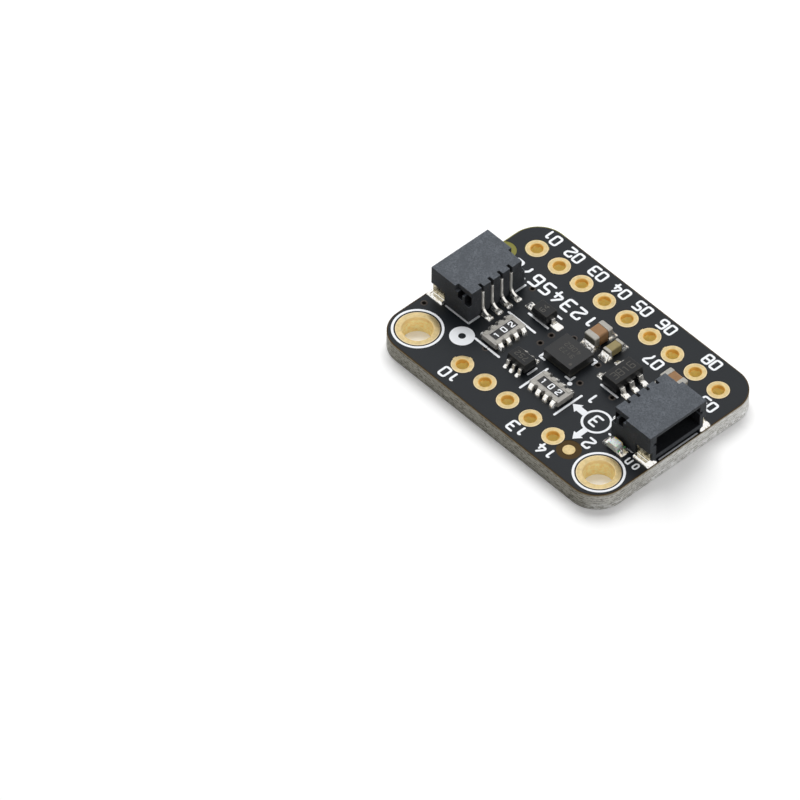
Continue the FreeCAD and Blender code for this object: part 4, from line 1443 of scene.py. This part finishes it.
def joint(graph, pad, foot, climbs, lip, belly, draw, spokes):
    """Solder from a pad's edge up to what stands on it: a rounded bead outside, a hollow climb inside.

    Climbs are for the ways +X, +Y, -X, -Y; lip is the bead's height; belly is 0 for a hollow climb and 1
    for a full one.
    """
    lip *= draw.uniform(0.8, 1.2)
    power = draw.uniform(1.3, 1.8)
    steps = 9
    count = spokes // 4

    def ground(way):
        return TOP

    def climb(way):
        shares = (max(0, math.cos(way)) ** 2, max(0, math.sin(way)) ** 2,
                  max(0, -math.cos(way)) ** 2, max(0, -math.sin(way)) ** 2)
        return sum(share * high for share, high in zip(shares, climbs))

    rings = [rect_ring(graph, foot, FOOT_CORNER, ground, count)]
    for k in range(steps + 1):
        t = math.sin(k / steps * QUARTER)
        rect = [inner + (outer - inner) * t for inner, outer in zip(foot, pad)]
        bead = math.sqrt(1 - t * t)
        share = belly * bead + (1 - belly) * (1 - t) ** power

        def height(way):
            return TOP + lip * bead + RIM_HEIGHT + climb(way) * share

        rings.append(rect_ring(graph, rect, FOOT_CORNER + 0.13 * t * MM, height, count))
    for ring in rings[2:-1]:
        for vert in ring:
            swell = noise.noise(Vector((vert.co.x, vert.co.y, 0)) / SWELL_SIZE)
            vert.co.z += swell * SWELL_SHARE * lip
    rings.append(rect_ring(graph, pad, PAD_CORNER, ground, count))
    wrap(graph, rings + rings[:1])


class SENSOR_OT_solder(bpy.types.Operator):
    """Solder joints under every contact, lead, terminal and tab"""
    bl_idname = "sensor.solder"
    bl_label = "Solder"

    def execute(self, context):
        spokes = look(context, "chip").solder_spokes
        draw = random.Random(7)
        bright = paint("Solder", solder_paint)
        for node, metals, tallest, lip, belly in JOINTS:
            graph = bmesh.new()
            names = [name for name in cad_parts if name.startswith(metals)]
            standing = [found for name in names for found in islands(name)]
            for pad_box in islands(node):
                metal = next(found for found in standing if overlaps(found, pad_box))
                pad, foot, climbs = self.plan(pad_box, metal, tallest * MM)
                joint(graph, pad, foot, climbs, lip * MM, belly, draw, spokes)
            finish_piece(solid(node + "_joints", graph, SOLDER_CREASE), "solder", bright, [node])
        return {"FINISHED"}

    def plan(self, pad_box, metal, tallest):
        """A joint's pad, widened a little where the metal is as wide as it is, its foot and its climbs."""
        (px0, py0), (px1, py1) = pad_box[0].xy, pad_box[1].xy
        (mx0, my0), (mx1, my1) = metal[0].xy, metal[1].xy
        pad = [px0, px1, py0, py1]
        foot = [max(mx0, px0 + MARGIN), min(mx1, px1 - MARGIN),
                max(my0, py0 + MARGIN), min(my1, py1 - MARGIN)]
        for i, (edge, sign) in enumerate(((mx0, -1), (mx1, 1), (my0, -1), (my1, 1))):
            if abs(edge - pad[i]) < MARGIN:
                foot[i] = edge
                pad[i] = edge + sign * MARGIN
        high = min(tallest, (metal[1].z - TOP) * 0.75)
        spread = [pad[1] - foot[1], pad[3] - foot[3], foot[0] - pad[0], foot[2] - pad[2]]
        climbs = [high * (0.25 + 0.75 * min(1.0, max(0.0, way - MARGIN) / FULL_REACH)) for way in spread]
        return pad, foot, climbs


# Stage

# Keeps the floor's plane off the board's own underside
FLOOR_GAP = 0.01 * MM
# Each lamp's place and the side of its square, in metres
KEY_LIGHT = ((-0.235, 0.18, 0.39), 0.42)
SIDE_LIGHT = ((0.50, 0.16, 0.19), 0.30)
# The view that puts the photograph's sixteen holes in their places: azimuth, elevation and roll in degrees
VIEW = (46.6387, 47.3525, 0.7111)
FOCAL_LENGTH = 448.88
SENSOR_WIDTH = 36.0
NEAR_CLIP = 0.01
# How far the eye stands to the right of the board's origin, and above it in the picture
EYE_RIGHT = -0.0129126
EYE_UP = -0.0020498


class SENSOR_OT_stage(bpy.types.Operator):
    """Pale floor, soft studio light, white surroundings and the camera"""
    bl_idname = "sensor.stage"
    bl_label = "Stage"

    def execute(self, context):
        stage = look(context, "stage")
        self.floor(stage)
        self.sky(stage)
        lamp("key_light", *KEY_LIGHT, stage.key_power)
        lamp("side_light", *SIDE_LIGHT, stage.side_power)
        self.camera(stage)
        context.scene.view_settings.view_transform = "Standard"
        return {"FINISHED"}

    def floor(self, stage):
        """A white square sheet under the board."""
        half = stage.floor_size / 2
        low = BOARD_LOW.z - FLOOR_GAP
        corners = [(-half, -half, low), (half, -half, low), (half, half, low), (-half, half, low)]
        mesh = bpy.data.meshes.new("floor")
        mesh.from_pydata(corners, [], [(0, 1, 2, 3)])
        made = new_object("floor", mesh)
        made.data.materials.append(paint("Floor", floor_paint))

    def sky(self, stage):
        """Surroundings that look plain white, and light the board as strongly as the stage says."""
        world = bpy.data.worlds.new("Studio")
        s = Shader(world)
        light, seen = (s.node("ShaderNodeBackground", inputs={"Color": WHITE, "Strength": strength})
                       for strength in (stage.sky_strength, 1.0))
        mix = s.node("ShaderNodeMixShader", inputs=(s.sharp_ray(), light, seen))
        s.node("ShaderNodeOutputWorld", inputs={"Surface": mix})
        bpy.context.scene.world = world

    def camera(self, stage):
        """The photograph's viewpoint, on the line of sight and then moved aside in the picture's plane."""
        azimuth, elevation, roll = (math.radians(value) for value in VIEW)
        right = Vector((math.cos(azimuth), math.sin(azimuth), 0))
        back = Vector((math.sin(azimuth) * math.cos(elevation), -math.cos(azimuth) * math.cos(elevation),
                       math.sin(elevation)))
        up = back.cross(right)
        right, up = (math.cos(roll) * right + math.sin(roll) * up,
                     math.cos(roll) * up - math.sin(roll) * right)
        lens = bpy.data.cameras.new("camera")
        lens.sensor_width = SENSOR_WIDTH
        lens.lens = FOCAL_LENGTH
        lens.clip_start = NEAR_CLIP
        eye = new_object("camera", lens)
        eye.matrix_world = Matrix((right, up, back)).transposed().to_4x4()
        eye.location = back * stage.camera_distance + right * EYE_RIGHT + up * EYE_UP
        bpy.context.scene.camera = eye


def lamp(name, place, width, power):
    """A square soft lamp that faces the board. Shiny things mirror the white surroundings instead of it."""
    light = bpy.data.lights.new(name, "AREA")
    light.size = width
    light.energy = power
    holder = new_object(name, light)
    holder.location = place
    holder.rotation_euler = (-Vector(place)).to_track_quat("-Z", "Y").to_euler()
    holder.visible_glossy = False


# Add-on

STEPS = (SENSOR_OT_laminate, SENSOR_OT_plating, SENSOR_OT_print, SENSOR_OT_sockets, SENSOR_OT_packages,
         SENSOR_OT_arrays, SENSOR_OT_capacitors, SENSOR_OT_lamp, SENSOR_OT_solder, SENSOR_OT_stage)


class SENSOR_PT_panel(bpy.types.Panel):
    """Sizes, colours and the steps that make the board"""
    bl_label = "Sensor Board"
    bl_idname = "SENSOR_PT_panel"
    bl_space_type = "VIEW_3D"
    bl_region_type = "UI"
    bl_category = "Sensor Board"

    def draw(self, context):
        for group in GROUPS:
            values = look(context, group)
            box = self.layout.box()
            box.label(text=values.__doc__)
            for key in values.__annotations__:
                box.prop(values, key)
        for step in STEPS:
            self.layout.operator(step.bl_idname)


CLASSES = (*GROUPS.values(), *STEPS, SENSOR_PT_panel)


def register():
    for kind in CLASSES:
        bpy.utils.register_class(kind)
    for group, kind in GROUPS.items():
        setattr(bpy.types.Scene, "sensor_" + group, PointerProperty(type=kind))


def unregister():
    for group in GROUPS:
        delattr(bpy.types.Scene, "sensor_" + group)
    for kind in reversed(CLASSES):
        bpy.utils.unregister_class(kind)


def main():
    """Dress the frame."""
    register()
    for step in STEPS:
        getattr(bpy.ops.sensor, step.bl_idname.split(".")[1])()


if __name__ == "__main__":
    main()
